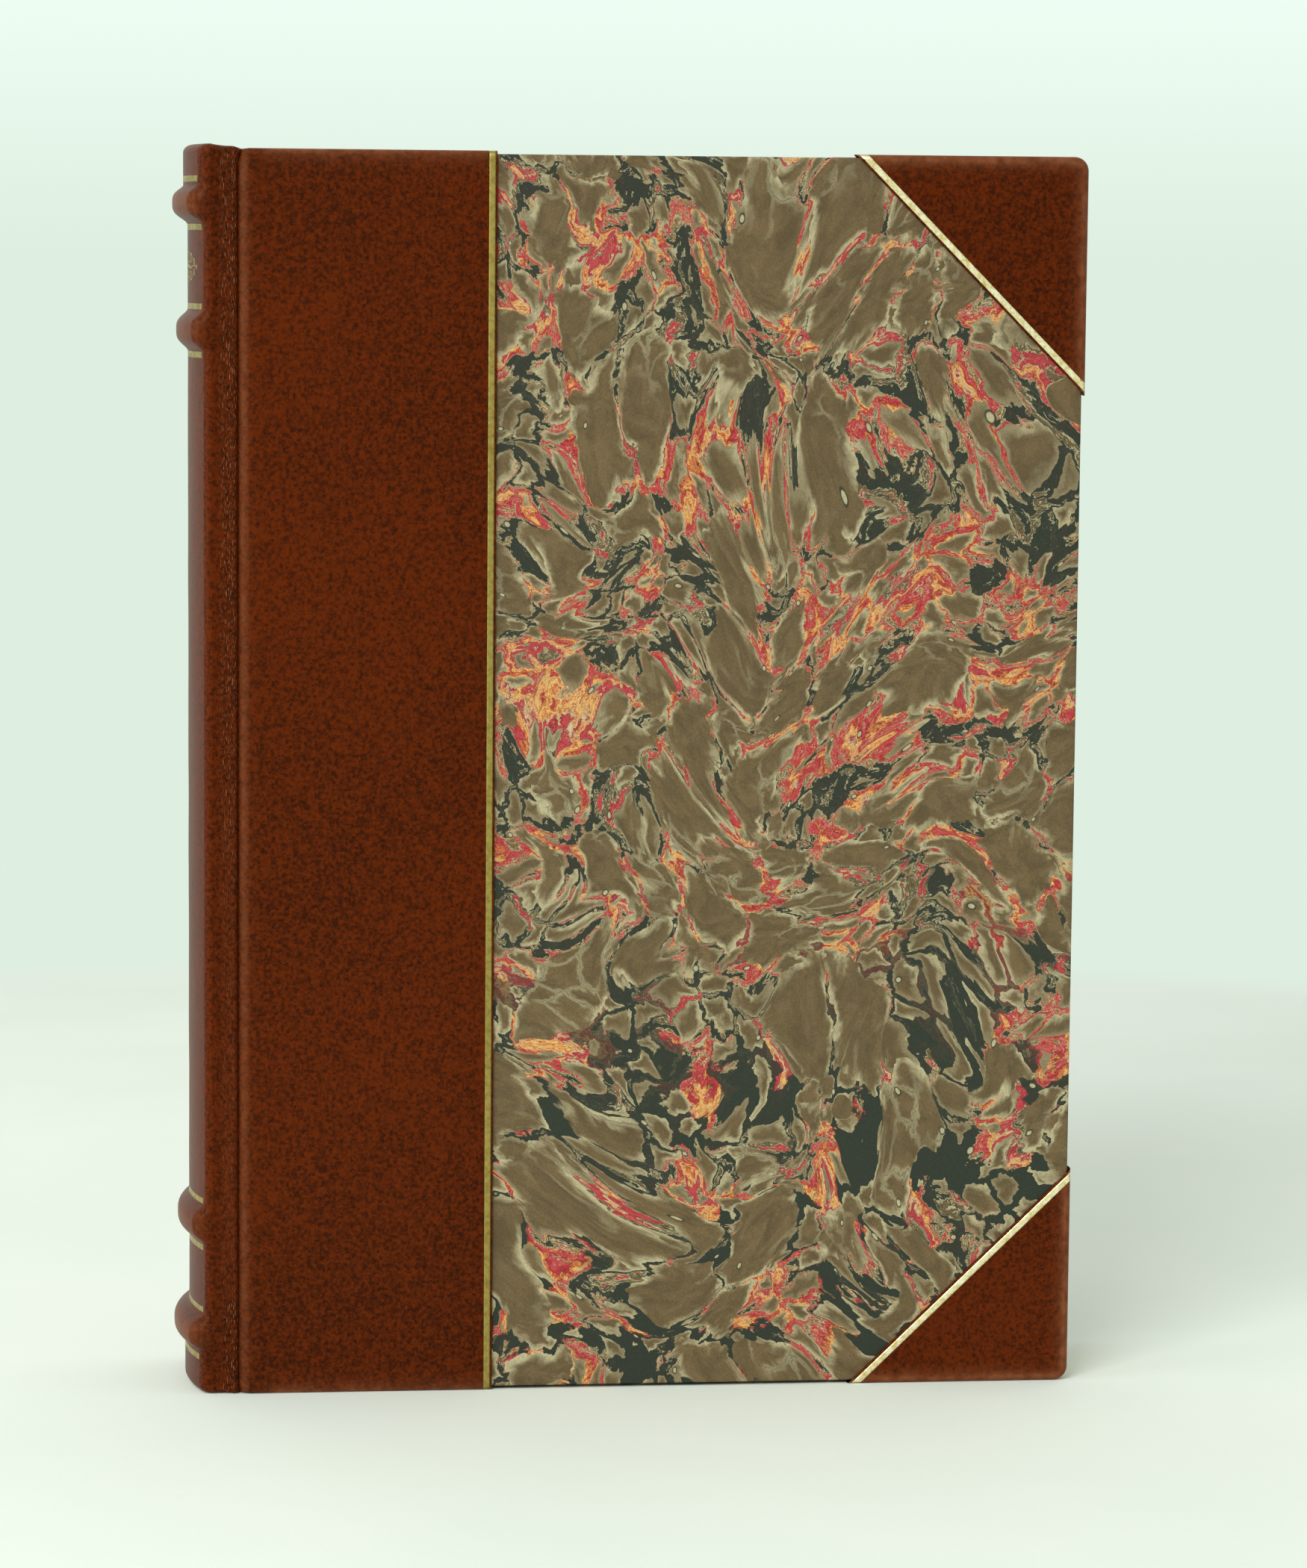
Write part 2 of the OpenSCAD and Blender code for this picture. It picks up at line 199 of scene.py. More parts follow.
def noise(tree, place, scale, detail=2.0, rough=0.5, distortion=0.0, output="Fac"):
    given = {"Vector": place, "Scale": scale, "Detail": detail, "Roughness": rough, "Distortion": distortion}
    return put(tree, "TexNoise", given).outputs[output]


def voronoi(tree, place, scale, feature="F1", dimensions="3D"):
    given = {"Vector": place, "Scale": scale}
    return put(tree, "TexVoronoi", given, feature=feature, voronoi_dimensions=dimensions).outputs


def field(tree, name, output="Fac"):
    # A field that the piece's mesh carries at its points
    return put(tree, "Attribute", attribute_name=name).outputs[output]


def split(tree, vector):
    return put(tree, "SeparateXYZ", {"Vector": vector}).outputs


def ramp(tree, value, stops):
    made = put(tree, "ValToRGB", {"Fac": value})
    elements = made.color_ramp.elements
    while len(elements) < len(stops):
        elements.new(0.5)
    for element, (place, color) in zip(elements, sorted(stops, key=lambda stop: stop[0])):
        element.position = place
        element.color = color
    return made.outputs["Color"]


def inMillimetres(tree):
    # Object coordinates, scaled so that one unit is one millimetre
    place = put(tree, "TexCoord").outputs["Object"]
    return put(tree, "Mapping", {"Vector": place, "Scale": (1000, 1000, 1000)}).outputs["Vector"]


def bump(tree, height, distance, strength=1.0, normal=None):
    given = {"Height": height, "Distance": distance, "Strength": strength}
    if normal is not None:
        given["Normal"] = normal
    return put(tree, "Bump", given).outputs["Normal"]


calf = {"dark": paint(48, 13, 2), "warm": paint(100, 36, 4), "wornAndSheen": paint(150, 92, 60),
        "pore": paint(34, 11, 5), "rough": 0.4, "specular": 0.12, "sheen": (1.0, 0.76, 0.46, 1.0)}


def leatherMaterial():
    # Mottled calf: two sizes of soft blotches, dark pores, worn edges with a painted sheen from the wear field,
    # and wrinkles from the crumple field
    material, tree, shader = startMaterial("chestnutCalf")
    place = inMillimetres(tree)
    blotches = noise(tree, place, 1.4, 4.0, 0.68)
    cloud = noise(tree, place, 0.02, 2.0, 0.45)
    speck = noise(tree, place, 2.3, 2.0, 0.5)
    tone = timesPlus(tree, blotches, 0.87, times(tree, cloud, 0.13))
    color = ramp(tree, tone, [(0.38, calf["dark"]), (0.6, calf["warm"])])
    hole = spread(tree, voronoi(tree, place, 1.7)["Distance"], 0.06, 0.2, 1.0, 0.0)
    rare = spread(tree, speck, 0.52, 0.64)
    color = blendColor(tree, times(tree, hole, times(tree, rare, 0.4)), color, calf["pore"])
    # The wear field lightens worn edges and also paints a sheen on rounded edges
    wearAndSheen = field(tree, "wearAndSheen")
    patchy = times(tree, wearAndSheen, spread(tree, noise(tree, place, 0.5, 3.0), 0.25, 0.75, 0.4, 1.0))
    color = blendColor(tree, patchy, color, calf["wornAndSheen"])
    # Long fine wrinkles run up the joints, their ridges lighter in colour: a painted highlight
    crumple = field(tree, "crumple")
    drawn = put(tree, "Mapping", {"Vector": place, "Scale": (3.6, 1.5, 0.6)}).outputs["Vector"]
    folds = voronoi(tree, drawn, 1.0, "DISTANCE_TO_EDGE")["Distance"]
    ridgeHighlight = times(tree, spread(tree, folds, 0.18, 0.34, 0.0, 0.7), crumple)
    color = blendColor(tree, ridgeHighlight, color, calf["wornAndSheen"])
    shine = timesPlus(tree, blotches, 0.16, calf["rough"] - 0.08)
    folds = times(tree, spread(tree, folds, 0.0, 0.35, 0.0, 1.0), crumple)
    grain = voronoi(tree, place, 3.2, "SMOOTH_F1")["Distance"]
    normal = bump(tree, grain, 0.00004, 0.5)
    normal = bump(tree, blotches, 0.00006, 0.5, normal)
    normal = bump(tree, hole, -0.00004, 0.6, normal)
    normal = bump(tree, folds, 0.0002, 1.0, normal)
    shine = timesPlus(tree, crumple, -0.12, shine)
    feed(tree, shader, {"Base Color": color, "Roughness": shine, "Normal": normal,
                        "Specular IOR Level": calf["specular"], "Specular Tint": calf["sheen"]})
    return material


# The skin of spine, joints and sides is one surface, cut into three pieces
skin = {"spineDrop": 0.6, "spineRise": 3.2, "jointRun": 6.3, "edgeRound": 1.9, "cut": -4.6, "capRound": 1.5,
        "bend": (-2.6, 1.0), "dip": 0.32, "valley": 1.55, "lipWide": 0.9, "shoulderWide": 2.2, "flare": 0.85,
        "groove": 0.05}
bands = {"high": (3.0, 2.3, 2.3, 3.0), "wide": 8.4}
bandMiddles = np.array([12.0, 34.0, 210.6, 235.4])
gilt = {"line": 1.25, "margin": 0.4, "fillet": 1.25, "filletOff": 4.65, "filletHalf": 15.3}
spineHalf = book["halfThick"] - skin["spineDrop"]
spineRadius = (spineHalf ** 2 + skin["spineRise"] ** 2) / (2 * skin["spineRise"])
arcMiddle = spineRadius - skin["jointRun"] - skin["spineRise"]


def faceDepth(across):
    # Depth of the leather's face: gently hollow joint, a V crease between two rounded shoulders, flat board
    run = np.clip(-across / skin["jointRun"], 0, 1)
    joint = skin["spineDrop"] + skin["dip"] * np.sin(math.pi * np.clip((run - 0.1) / 0.75, 0, 1)) ** 2
    lip = np.clip(1 + across / skin["lipWide"], 0, 1)
    joint = joint + (skin["valley"] - skin["spineDrop"]) * (1 - np.sqrt(1 - lip ** 2))
    # The board's shoulder is nearly a flat bevel that rounds off quickly into the face
    ease = np.clip(1 - across / skin["shoulderWide"], 0, 1)
    board = skin["valley"] * (0.5 * ease ** 1.25 + 0.5 * (1 - np.sqrt(1 - ease ** 2)))
    return np.where(across < 0, joint, board)


def skinEnds(across):
    # Heights of the skin's two ends and its thickness from face to turn-in, from spine through joint to cover
    stations = [-5.4, -4.2, -2.6, -1.0, -0.1, 0.5, 1.0, 2.2]
    top = np.interp(across, stations, [246.8, 246.6, 246.4, 246.35, 246.1, 245.85, 245.85, 246.0])
    low = np.interp(across, stations, [0.0, 0.0, 0.0, 0.0, 0.15, 0.2, 0.15, 0.0])
    thick = np.interp(across, stations, [3.05, 2.2, 1.35, 1.3, 1.6, 2.6, 4.25, 4.25])
    return low, top, thick


# Rows of a wrap: turn-in, inner rounding, edge and outer rounding at tail and head, and the face between them
wrapRows = [7, 5, 4, 7]
faceRows = 560
# Least length of the straight edge between the two roundings
leastEdge = 0.02


def wrapProfile(low, high, thick, outRound, inRound):
    # For each column: the inset and height along a path up the tail's turn-in, round both edges by quarter
    # circles, over the face, and down again at the head, with the path's outward normal
    face = np.linspace(0, 1, faceRows + 1)
    low, high, thick, outRound, inRound = (
        v[:, None] for v in np.broadcast_arrays(low, high, thick, outRound, inRound))
    part = np.repeat(np.arange(4), wrapRows)[None]
    t = np.concatenate([np.linspace(0, 1, n, endpoint=False) for n in wrapRows])[None]
    turn = t * math.pi / 2
    where = [part == k for k in range(4)]
    inset = np.select(where, [thick + 0 * t, thick - inRound + inRound * np.cos(turn),
                              (thick - inRound) * (1 - t) + outRound * t, outRound - outRound * np.sin(turn)])
    up = np.select(where, [book["turnInWide"] * (1 - t) + inRound * t, inRound - inRound * np.sin(turn),
                           0 * t + 0 * low, outRound - outRound * np.cos(turn)])
    normalIn = np.select(where, [1 + 0 * t, np.cos(turn), 0 * t, -np.sin(turn)])
    normalUp = np.select(where, [0 * t, -np.sin(turn), -1 + 0 * t, -np.cos(turn)])
    normalIn, normalUp = (np.broadcast_to(n, inset.shape) for n in (normalIn, normalUp))
    faceHigh = (low + outRound) * (1 - face) + (high - outRound) * face
    flat = np.zeros_like(faceHigh)
    insets = np.hstack([inset, flat, inset[:, ::-1]])
    heights = np.hstack([low + up, faceHigh, (high - up)[:, ::-1]])
    outIn = np.hstack([normalIn, flat - 1, normalIn[:, ::-1]])
    outUp = np.hstack([normalUp, flat, -normalUp[:, ::-1]])
    return insets, heights, outIn, outUp


def jointWrinkles(across, high):
    # Fine ridges drawn out along the joint, strongest in its upper part and slanting near the tail: one minus
    # the size of a stretched noise, sharpened by a power, in two sizes
    slant = across + 0.5 * smooth((26 - high) / 8) * (26 - high)
    wander = slant + 0.22 * softNoise(across, high, 1.6, 5, 3)
    ridges = (1 - np.abs(softNoise(wander, high, 0.46, 2.0, 5))) ** 3
    ridges = ridges + 0.7 * (1 - np.abs(softNoise(wander, high, 0.3, 1.2, 6))) ** 3
    place = smooth((across + 4.0) / 1.4) * smooth((0.1 - across) / 0.5)
    amount = 0.35 + 0.65 * smooth((high - 90) / 60) + 0.6 * smooth((26 - high) / 10)
    broken = 0.6 + 0.4 * softNoise(across, high, 1.1, 7, 8)
    return ridges * place * amount * broken, place * amount


def faceWave(a, b, cellA, cellB, seed):
    # Uneven face: two sizes of soft waves, never above the even surface
    slow = 0.03 * softNoise(a, b, cellA, cellB, seed)
    return slow + 0.012 * softNoise(a, b, cellA * 0.3, cellB * 0.28, seed + 1) - 0.044


def pressed(away):
    # Share of the groove's depth under a gold line, at this distance from the line's middle
    half = gilt["line"] / 2
    return smooth((1.12 - np.abs(away / half)) / 0.16)


def skinFields(wearAndSheen, crumple):
    # What the leather's material reads at each point: how worn it is together with the painted sheen on edges,
    # and how crumpled
    return {"wearAndSheen": wearAndSheen.astype(np.float32), "crumple": crumple.astype(np.float32)}


def sideSkin(side, across, lift):
    # The skin over one joint and side: columns at "across", lifted along its normal
    low, top, thick = skinEnds(across)
    round1 = np.interp(across, [-5.2, -1.0, 2.2], [skin["capRound"], 0.6, book["edgeRound"]])
    round2 = np.interp(across, [-5.2, -1.0, 0.6, 2.2], [skin["capRound"], 0.6, 0.9, book["edgeRound"]])
    round2 = np.minimum(round2, thick - round1 - leastEdge)
    inset, high, outIn, outUp = wrapProfile(low, top, thick, round1, round2)
    wide = across[:, None] + 0 * high
    # Near the head and tail the lip of the joint leans over the crease
    lean = 0.6 * smooth((high - 242.6) / 3.2) + 0.3 * smooth((2.2 - high) / 2.2)
    onFace = np.clip(-outIn, 0, 1)
    shift = onFace * lean * smooth((wide + 3.4) / 3.2) * smooth((1.6 - wide) / 1.8)
    # The leather stays above the board's rounded spine edge: a circle of 0.7 about (1.6, 1.6)
    over = np.clip(1.6 - wide - shift, 0, 0.7)
    deepest = np.where(wide + shift > 0.9, 1.52 - np.sqrt(0.49 - over ** 2), 9)
    wrinkle, crumple = jointWrinkles(wide, high)
    board = smooth((wide - 2.5) / 6)
    rise = lift + onFace * (0.1 * (wrinkle - 0.6 * crumple) + board * faceWave(wide, high, 17, 23, 11))
    rise = rise - skin["groove"] * pressed(wide - (book["leatherWide"] - gilt["margin"] - gilt["line"] / 2))
    depth = np.minimum(faceDepth(across)[:, None], deepest) + inset + rise * outIn
    points = toRow(side, wide + shift, depth, high + rise * outUp)
    # Lighter edges: wear with a painted sheen on the board's rounded shoulder and the turned edges, and a
    # painted highlight along the head and tail edges
    edge = np.exp(-((wide - 1.1) / 0.9) ** 2) * onFace + (1 - onFace) * (outIn < 0.5) * 0.8
    rim = np.exp(-np.minimum(high - low[:, None], top[:, None] - high) / 1.1) * 0.75
    return points, skinFields(0.28 * edge + rim * board, crumple)


def sideColumns():
    joint = np.linspace(skin["cut"], 0, 56)
    shoulder = np.linspace(0, 2.4, 20)[1:]
    end = book["leatherWide"]
    face = np.linspace(2.4, end - 2.4, 26)[1:]
    line = end - np.array([2.0, 1.85, 1.72, 1.66, 1.6, 1.5, 1.2, 0.85, 0.55, 0.45, 0.4, 0.33, 0.24, 0.16])
    across = np.concatenate([joint, shoulder, face, line])
    # The cut edge rolls over and drops to the paper
    roll = np.linspace(0, math.pi / 2, 5)
    across = np.concatenate([across, end - 0.16 + 0.16 * np.sin(roll[1:]), [end, end]])
    lift = np.concatenate([np.zeros(len(across) - 6), -0.16 * (1 - np.cos(roll[1:])), [-0.45, -0.78]])
    return across, lift[:, None]


def makeSideSkin(name, side, material):
    across, lift = sideColumns()
    points, fields = sideSkin(side, across, lift)
    faces = gridFaces(*points.shape[:2])
    piece = makePiece(name + "SideLeather", points, faces, material, fields, (0, side, 0))
    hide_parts(name + "_side_leather")
    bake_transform(piece)


def spinePlan():
    # Plan of the spine's skin: flat part of a joint, rounded edge, arc, and the same mirrored. Each point has
    # its outward normal and the share of the relief that it takes.
    edge = skin["edgeRound"]
    middleY = spineHalf - edge
    middleX = arcMiddle - math.sqrt((spineRadius - edge) ** 2 - middleY ** 2)
    turnEnd = math.atan2(middleY, arcMiddle - middleX)
    flat = np.linspace(skin["cut"], middleX, 8)[:-1]
    turn = np.linspace(math.pi / 2, turnEnd, 14)[:-1]
    sweep = np.linspace(turnEnd, 0, 46)
    x = np.concatenate([flat, middleX - edge * np.cos(turn), arcMiddle - spineRadius * np.cos(sweep)])
    y = np.concatenate([-(book["halfThick"] - faceDepth(flat)), -middleY - edge * np.sin(turn),
                        -spineRadius * np.sin(sweep)])
    normal = np.concatenate([0 * flat + math.pi / 2, turn, sweep])
    far = np.concatenate([0 * flat, (math.pi / 2 - turn) * edge,
                          (math.pi / 2 - turnEnd) * edge + (turnEnd - sweep) * spineRadius])
    share = smooth((far + 0.4) / 3.6)
    normalX, normalY = -np.cos(normal), -np.sin(normal)
    plan = np.stack([x, y, normalX, normalY, share, far])
    mirrored = plan[:, -2::-1] * np.array([1, -1, 1, -1, 1, 1])[:, None]
    return np.hstack([plan, mirrored])


def bandShape(high):
    # Each band is half of one plus the cosine of pi times a power of the distance from its middle
    total = np.zeros_like(high)
    for middle, tall in zip(bandMiddles, bands["high"]):
        t = np.clip(np.abs(high - middle) / (bands["wide"] / 2), 0, 1)
        total = np.maximum(total, tall * (1 + np.cos(math.pi * t ** 1.75)) / 2)
    return total


def spineRelief(high):
    # The bands, and the skin's flare into the headcaps beyond the outer two
    ends = np.maximum(smooth((bandMiddles[0] + 1 - high) / 2), smooth((high - bandMiddles[3] + 1) / 2))
    return np.maximum(bandShape(high), skin["flare"] * ends)


def spineWave(y, high):
    return faceWave(y, high, 6, 9, 21)


def spineSkin(plan):
    x, y, normalX, normalY, share, far = plan
    low, top, thick = skinEnds(np.where(far > 0, -5.4, x))
    round1 = np.where(far > 0, skin["capRound"], np.interp(x, [-5.2, -1.0], [skin["capRound"], 0.6]))
    round2 = np.minimum(round1, thick - round1 - leastEdge)
    inset, high, outIn, _ = wrapProfile(low, top, thick, round1, round2)
    wave = spineWave(y[:, None], high) * np.clip(-outIn, 0, 1)
    relief = share[:, None] * (spineRelief(high) * (1 - inset / thick[:, None]) + wave)
    across = relief - inset
    aside = np.clip(y[:, None] + normalY[:, None] * across, -book["halfThick"], book["halfThick"])
    points = toFrame(x[:, None] + normalX[:, None] * across, aside, high)
    # Lighter band tops and cap edges: scuffs and wear with a painted highlight
    bandScuffAndHighlight = np.clip(bandShape(high) / 2.6, 0, 1) ** 3 * 0.3 * share[:, None]
    capWearAndHighlight = (1 - np.clip(-outIn, 0, 1)) * (outIn < 0.6) * 0.45
    return points, skinFields(bandScuffAndHighlight + capWearAndHighlight, 0 * high)


leather = leatherMaterial()
for name, side in sides.items():
    makeSideSkin(name, side, leather)
points, fields = spineSkin(spinePlan())
spine = makePiece("spineLeather", points, gridFaces(*points.shape[:2]), leather, fields, (-1, 0, 0))
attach(spine, "book_block")
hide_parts("spine_leather")
print("leather skin made")

foil = {"color": paint(170, 151, 80), "shade": paint(140, 120, 58), "pale": paint(250, 242, 204),
        "paleShade": paint(206, 184, 100), "rough": 0.34}


def giltMaterial(name, light, shade, metal):
    # Gold foil: fine ribs across, small dull patches and rubbed spots
    material, tree, shader = startMaterial(name)
    place = inMillimetres(tree)
    patches = noise(tree, place, 0.8, 4.0, 0.6)
    color = ramp(tree, patches, [(0.34, shade), (0.6, light)])
    given = {"Vector": place, "Scale": 0.55, "Distortion": 1.5, "Detail": 2.0, "Detail Scale": 2.0}
    ribs = put(tree, "TexWave", given, wave_type="BANDS", bands_direction="DIAGONAL").outputs["Fac"]
    normal = bump(tree, ribs, 0.00003, 0.5)
    normal = bump(tree, noise(tree, place, 4.0, 2.0), 0.00003, 0.5, normal)
    rough = spread(tree, patches, 0.3, 0.7, foil["rough"] + 0.14, foil["rough"])
    feed(tree, shader, {"Base Color": color, "Metallic": metal, "Roughness": rough, "Normal": normal})
    return material


# A gold strip from edge to edge: shares of its width, and its lift with both edges pressed in
stripShares = np.array([0.0, 0.015, 0.25, 0.5, 0.75, 0.985, 1.0])
stripLift = np.array([-0.05, 0.014, 0.016, 0.016, 0.016, 0.014, -0.05])
gold = giltMaterial("goldFoil", foil["color"], foil["shade"], 0.92)
paleGold = giltMaterial("paleGoldFoil", foil["pale"], foil["paleShade"], 0.55)


def makeSideLine(name, side):
    # Gold strip in the groove beside the leather's cut edge, over the face and both edges of the cover
    end = book["leatherWide"] - gilt["margin"]
    points, _ = sideSkin(side, end - gilt["line"] * stripShares[::-1], stripLift[:, None])
    # The strip starts and ends half way over the cover's thickness
    ends = wrapRows[0] + wrapRows[1] + 2
    points = points[:, ends:-ends]
    return makePiece(name + "SideLine", points, gridFaces(*points.shape[:2]), gold, None, (0, side, 0))


def makeFillets():
    # Gold strips beside the bands, bent over the rounded spine
    plan = spinePlan()
    plan = plan[:, np.abs(plan[1]) < gilt["filletHalf"]]
    x, y, normalX, normalY, share, _ = (v[:, None] for v in plan)
    drop = np.array([-0.05, 0.012, 0.018, 0.018, 0.018, 0.012, -0.05])
    grids = []
    for middle in bandMiddles:
        for way in (-1, 1):
            center = middle + way * gilt["filletOff"]
            rows = center + gilt["fillet"] * np.array([-0.5, -0.49, -0.25, 0, 0.25, 0.49, 0.5])
            high = rows[None] + 0 * x + 0.05 * softNoise(y, rows[None], 2.5, 9, 31)
            out = share * (spineRelief(high) + spineWave(y, high)) + drop[None]
            grids.append(toFrame(x + normalX * out, y + normalY * out, high))
    piece = makePiece("spineFillets", *joinGrids(grids), gold, None, (-1, 0, 0))
    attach(piece, "book_block")
    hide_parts("spine_fillets")


makeFillets()
ornament = {"middle": 223.0, "line": 0.42, "lift": 0.015, "dots": (-11.9, -5.8, 0.0, 5.8, 11.9),
            "curls": (((4.2, 1.7), 1.35, 1.35, math.pi, -1), ((7.4, 1.55), 1.15, 1.3, 0.0, 1),
                      ((10.1, 0.9), 0.8, 1.2, math.pi, -1))}


def spinePlace(along, high, lift):
    # A place on the spine from the length along its arc and the height
    turn = along / spineRadius
    radius = spineRadius + lift + spineWave(spineRadius * np.sin(turn), high)
    return toFrame(arcMiddle - radius * np.cos(turn), radius * np.sin(turn), high)


def curl(middle, radius, turns, start, way):
    # Spiral that winds from its rim to its middle: the radius shrinks evenly while the angle grows
    t = np.linspace(0, 1, 70)
    angle = start + way * 2 * math.pi * turns * t
    r = radius * (1 - 0.82 * t)
    return np.stack([middle[0] + r * np.cos(angle), middle[1] + r * np.sin(angle)]), 1 - 0.45 * t


def makeOrnament():
    # A lozenge between paired curls and dots, pressed in gold: strips of foil along plane curves
    t = np.linspace(0, 2 * math.pi, 97)
    lozenge = np.stack([size * np.abs(wave) ** 1.5 * np.sign(wave)
                        for size, wave in ((1.9, np.cos(t)), (3.1, np.sin(t)))])
    curves = [(lozenge, 1 + 0 * t)]
    for flip in (-1, 1):
        for way in (-1, 1):
            for middle, radius, turns, start, turn in ornament["curls"]:
                line, wide = curl(middle, radius, turns, start, turn)
                curves.append((line * np.array([[flip], [way]]), wide))
        stem = np.linspace(0, 1, 60)
        line = np.stack([flip * (2.0 + 9.4 * stem), 0.22 * np.sin(stem * 3 * math.pi)])
        curves.append((line, 1.1 - 0.6 * stem))
    grids = []
    across = np.array([-0.5, -0.49, 0.0, 0.49, 0.5])
    drop = np.array([-0.04, 0.0, 0.006, 0.0, -0.04]) + ornament["lift"]
    for line, wide in curves:
        along = np.gradient(line, axis=1)
        square = np.stack([-along[1], along[0]]) / np.maximum(np.linalg.norm(along, axis=0), 1e-9)
        reach = across[None, None] * ornament["line"] * wide[None, :, None]
        place = line[:, :, None] + square[:, :, None] * reach
        grids.append(spinePlace(place[0], ornament["middle"] + place[1], drop[None]))
    radius, turn = np.meshgrid([0.02, 0.3, 0.4, 0.41], np.linspace(0, 2 * math.pi, 25), indexing="ij")
    drop = np.array([0.008, 0.004, 0.0, -0.04])[:, None] + ornament["lift"]
    for dotAlong in ornament["dots"]:
        high = ornament["middle"] + 1.3 * radius * np.sin(turn)
        grids.append(spinePlace(dotAlong + radius * np.cos(turn), high, drop))
    points, faces = joinGrids(grids)
    inwards = faceNormals(points, faces)[:, 0] > 0
    faces[inwards] = faces[inwards][:, ::-1]
    piece = makePiece("spineOrnament", points, faces, gold)
    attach(piece, "book_block")


makeOrnament()

corners = {"head": {"along": 46.5, "down": 47.0}, "tail": {"along": 45.0, "down": 43.5}}
innerRound = 0.9


def diagonal(legs):
    # The cut diagonal: its length, its direction from the edge to the fore edge, and the way into the corner
    along, down = legs["along"], legs["down"]
    length = math.hypot(along, down)
    return length, np.array([-along, down]) / length, np.array([-down, -along]) / length


def cornerGrid(legs):
    # One corner's leather in distances from the fore edge and from the head or tail edge. Columns stand on the
    # cut diagonal and run square to it up to the outline, round the edge, and back under the board.
    along, down = legs["along"], legs["down"]
    r, big = book["edgeRound"], book["cornerRound"]
    _, direction, inward = diagonal(legs)
    start = np.array([along, 0.0]) + direction * (r / direction[1])
    finish = np.array([0.0, down]) - direction * (r / -direction[0])
    span = np.linalg.norm(finish - start)
    # The ray towards the corner's middle is where columns crowd
    tip = (np.array([big, big]) - start) @ direction
    steps = np.geomspace(0.12, 6, 14)
    crowd = tip + np.concatenate([-steps[::-1], [0], steps])
    rims = np.array([0.15, 0.35, 0.7])
    f = np.unique(np.concatenate([np.linspace(0, span, 110), crowd, rims, span - rims]))
    foot = start[None] + f[:, None] * direction[None]
    toHead = (r - foot[:, 1]) / inward[1]
    toFore = (r - foot[:, 0]) / inward[0]
    # Ray to the inset corner's circle
    offset = foot - np.array([big, big])
    b = offset @ inward
    root = b ** 2 - ((offset ** 2).sum(1) - (big - r) ** 2)
    toArc = -b + np.sqrt(np.maximum(root, 0))
    hit = foot + toArc[:, None] * inward
    onArc = (root > 0) & (hit[:, 0] < big) & (hit[:, 1] < big)
    reach = np.where(onArc, toArc, np.minimum(toHead, toFore))
    rim = foot + reach[:, None] * inward
    normal = np.where(onArc[:, None], (rim - big) / (big - r),
                      np.where((toHead < toFore)[:, None], np.array([0.0, -1.0]), np.array([-1.0, 0.0])))
    near = np.array([0.0, 0.0, 0.0, 0.04, 0.1, 0.16, 0.24, 0.33, 0.4, 0.45, 0.55, 0.9, 1.3, 1.5, 1.6, 1.66,
                     1.72, 1.85, 2.1, 2.5])
    cut = np.array([-0.78, -0.4, -0.16, -0.08, -0.03])
    away = np.minimum(near[None], reach[:, None])
    rest = np.linspace(0, 1, 24)[1:]
    far = away[:, -1:] + (reach[:, None] - away[:, -1:]) * rest[None]
    away = np.hstack([away, far])
    face = foot[:, None] + away[..., None] * inward
    drop = np.concatenate([cut, np.zeros(away.shape[1] - len(cut))])[None]
    drop = drop - skin["groove"] * pressed(away - (gilt["margin"] + gilt["line"] / 2))
    wave = faceWave(face[..., 0], face[..., 1], 14, 17, 41)
    faceDeep = -(drop + wave * smooth(away / 6) * smooth((reach[:, None] - away) / 4))
    # Over the edge: quarter circle, flat, quarter circle, turn-in
    turn = np.linspace(0, math.pi / 2, 9)[1:]
    flat = np.linspace(0, 1, 4)[1:]
    out = np.concatenate([r * np.sin(turn), r + 0 * flat, r - innerRound + innerRound * np.cos(turn)])
    deep = np.concatenate([r - r * np.cos(turn), r + (coverThick - r - innerRound) * flat,
                           coverThick - innerRound + innerRound * np.sin(turn)])
    under = np.linspace(0, 1, 9)[1:]
    # Close to the diagonal's two ends the rows follow its slant
    onEnd, onFore = normal[:, 1] == -1, normal[:, 0] == -1
    alongEdge = np.where(onEnd, start[0] - rim[:, 0], np.where(onFore, finish[1] - rim[:, 1], 99))
    fade = np.clip(1 - alongEdge / 20, 0, 1)
    slope = np.where(onEnd, along / down, down / along)
    sideways = np.where(onEnd[:, None], np.array([1.0, 0.0]), np.array([0.0, 1.0]))
    slant = (slope * fade)[:, None]
    edge = rim[:, None] + out[None, :, None] * normal[:, None]
    edge = edge + sideways[:, None] * slant[:, None] * out[None, :, None]
    edgeDeep = np.broadcast_to(deep, edge.shape[:2])
    inner = edge[:, -1]
    # Turn-ins end 15 mm from the edges and meet in a mitre at the corner
    wide = book["turnInWide"]
    goal = np.where(onEnd[:, None], np.stack([np.maximum(inner[:, 0], wide), 0 * f + wide], 1),
                    np.where(onFore[:, None], np.stack([0 * f + wide, np.maximum(inner[:, 1], wide)], 1),
                             np.array([wide, wide])))
    goal = goal - sideways * slant * wide
    turned = inner[:, None] * (1 - under)[None, :, None] + goal[:, None] * under[None, :, None]
    turnedDeep = np.full(turned.shape[:2], coverThick)
    place = np.concatenate([face, edge, turned], axis=1)
    depth = np.concatenate([faceDeep, edgeDeep, turnedDeep], axis=1)
    # Lighter rim: edge wear with a painted sheen along the corner's outline and over its rounded edge
    edgeWearAndSheen = np.concatenate([np.exp(-(reach[:, None] - away) / 1.2) * 0.7 * smooth(reach[:, None] / 3),
                               np.broadcast_to(0.7 * (out > 0.2), edge.shape[:2]), 0 * turnedDeep], axis=1)
    return place, depth, edgeWearAndSheen


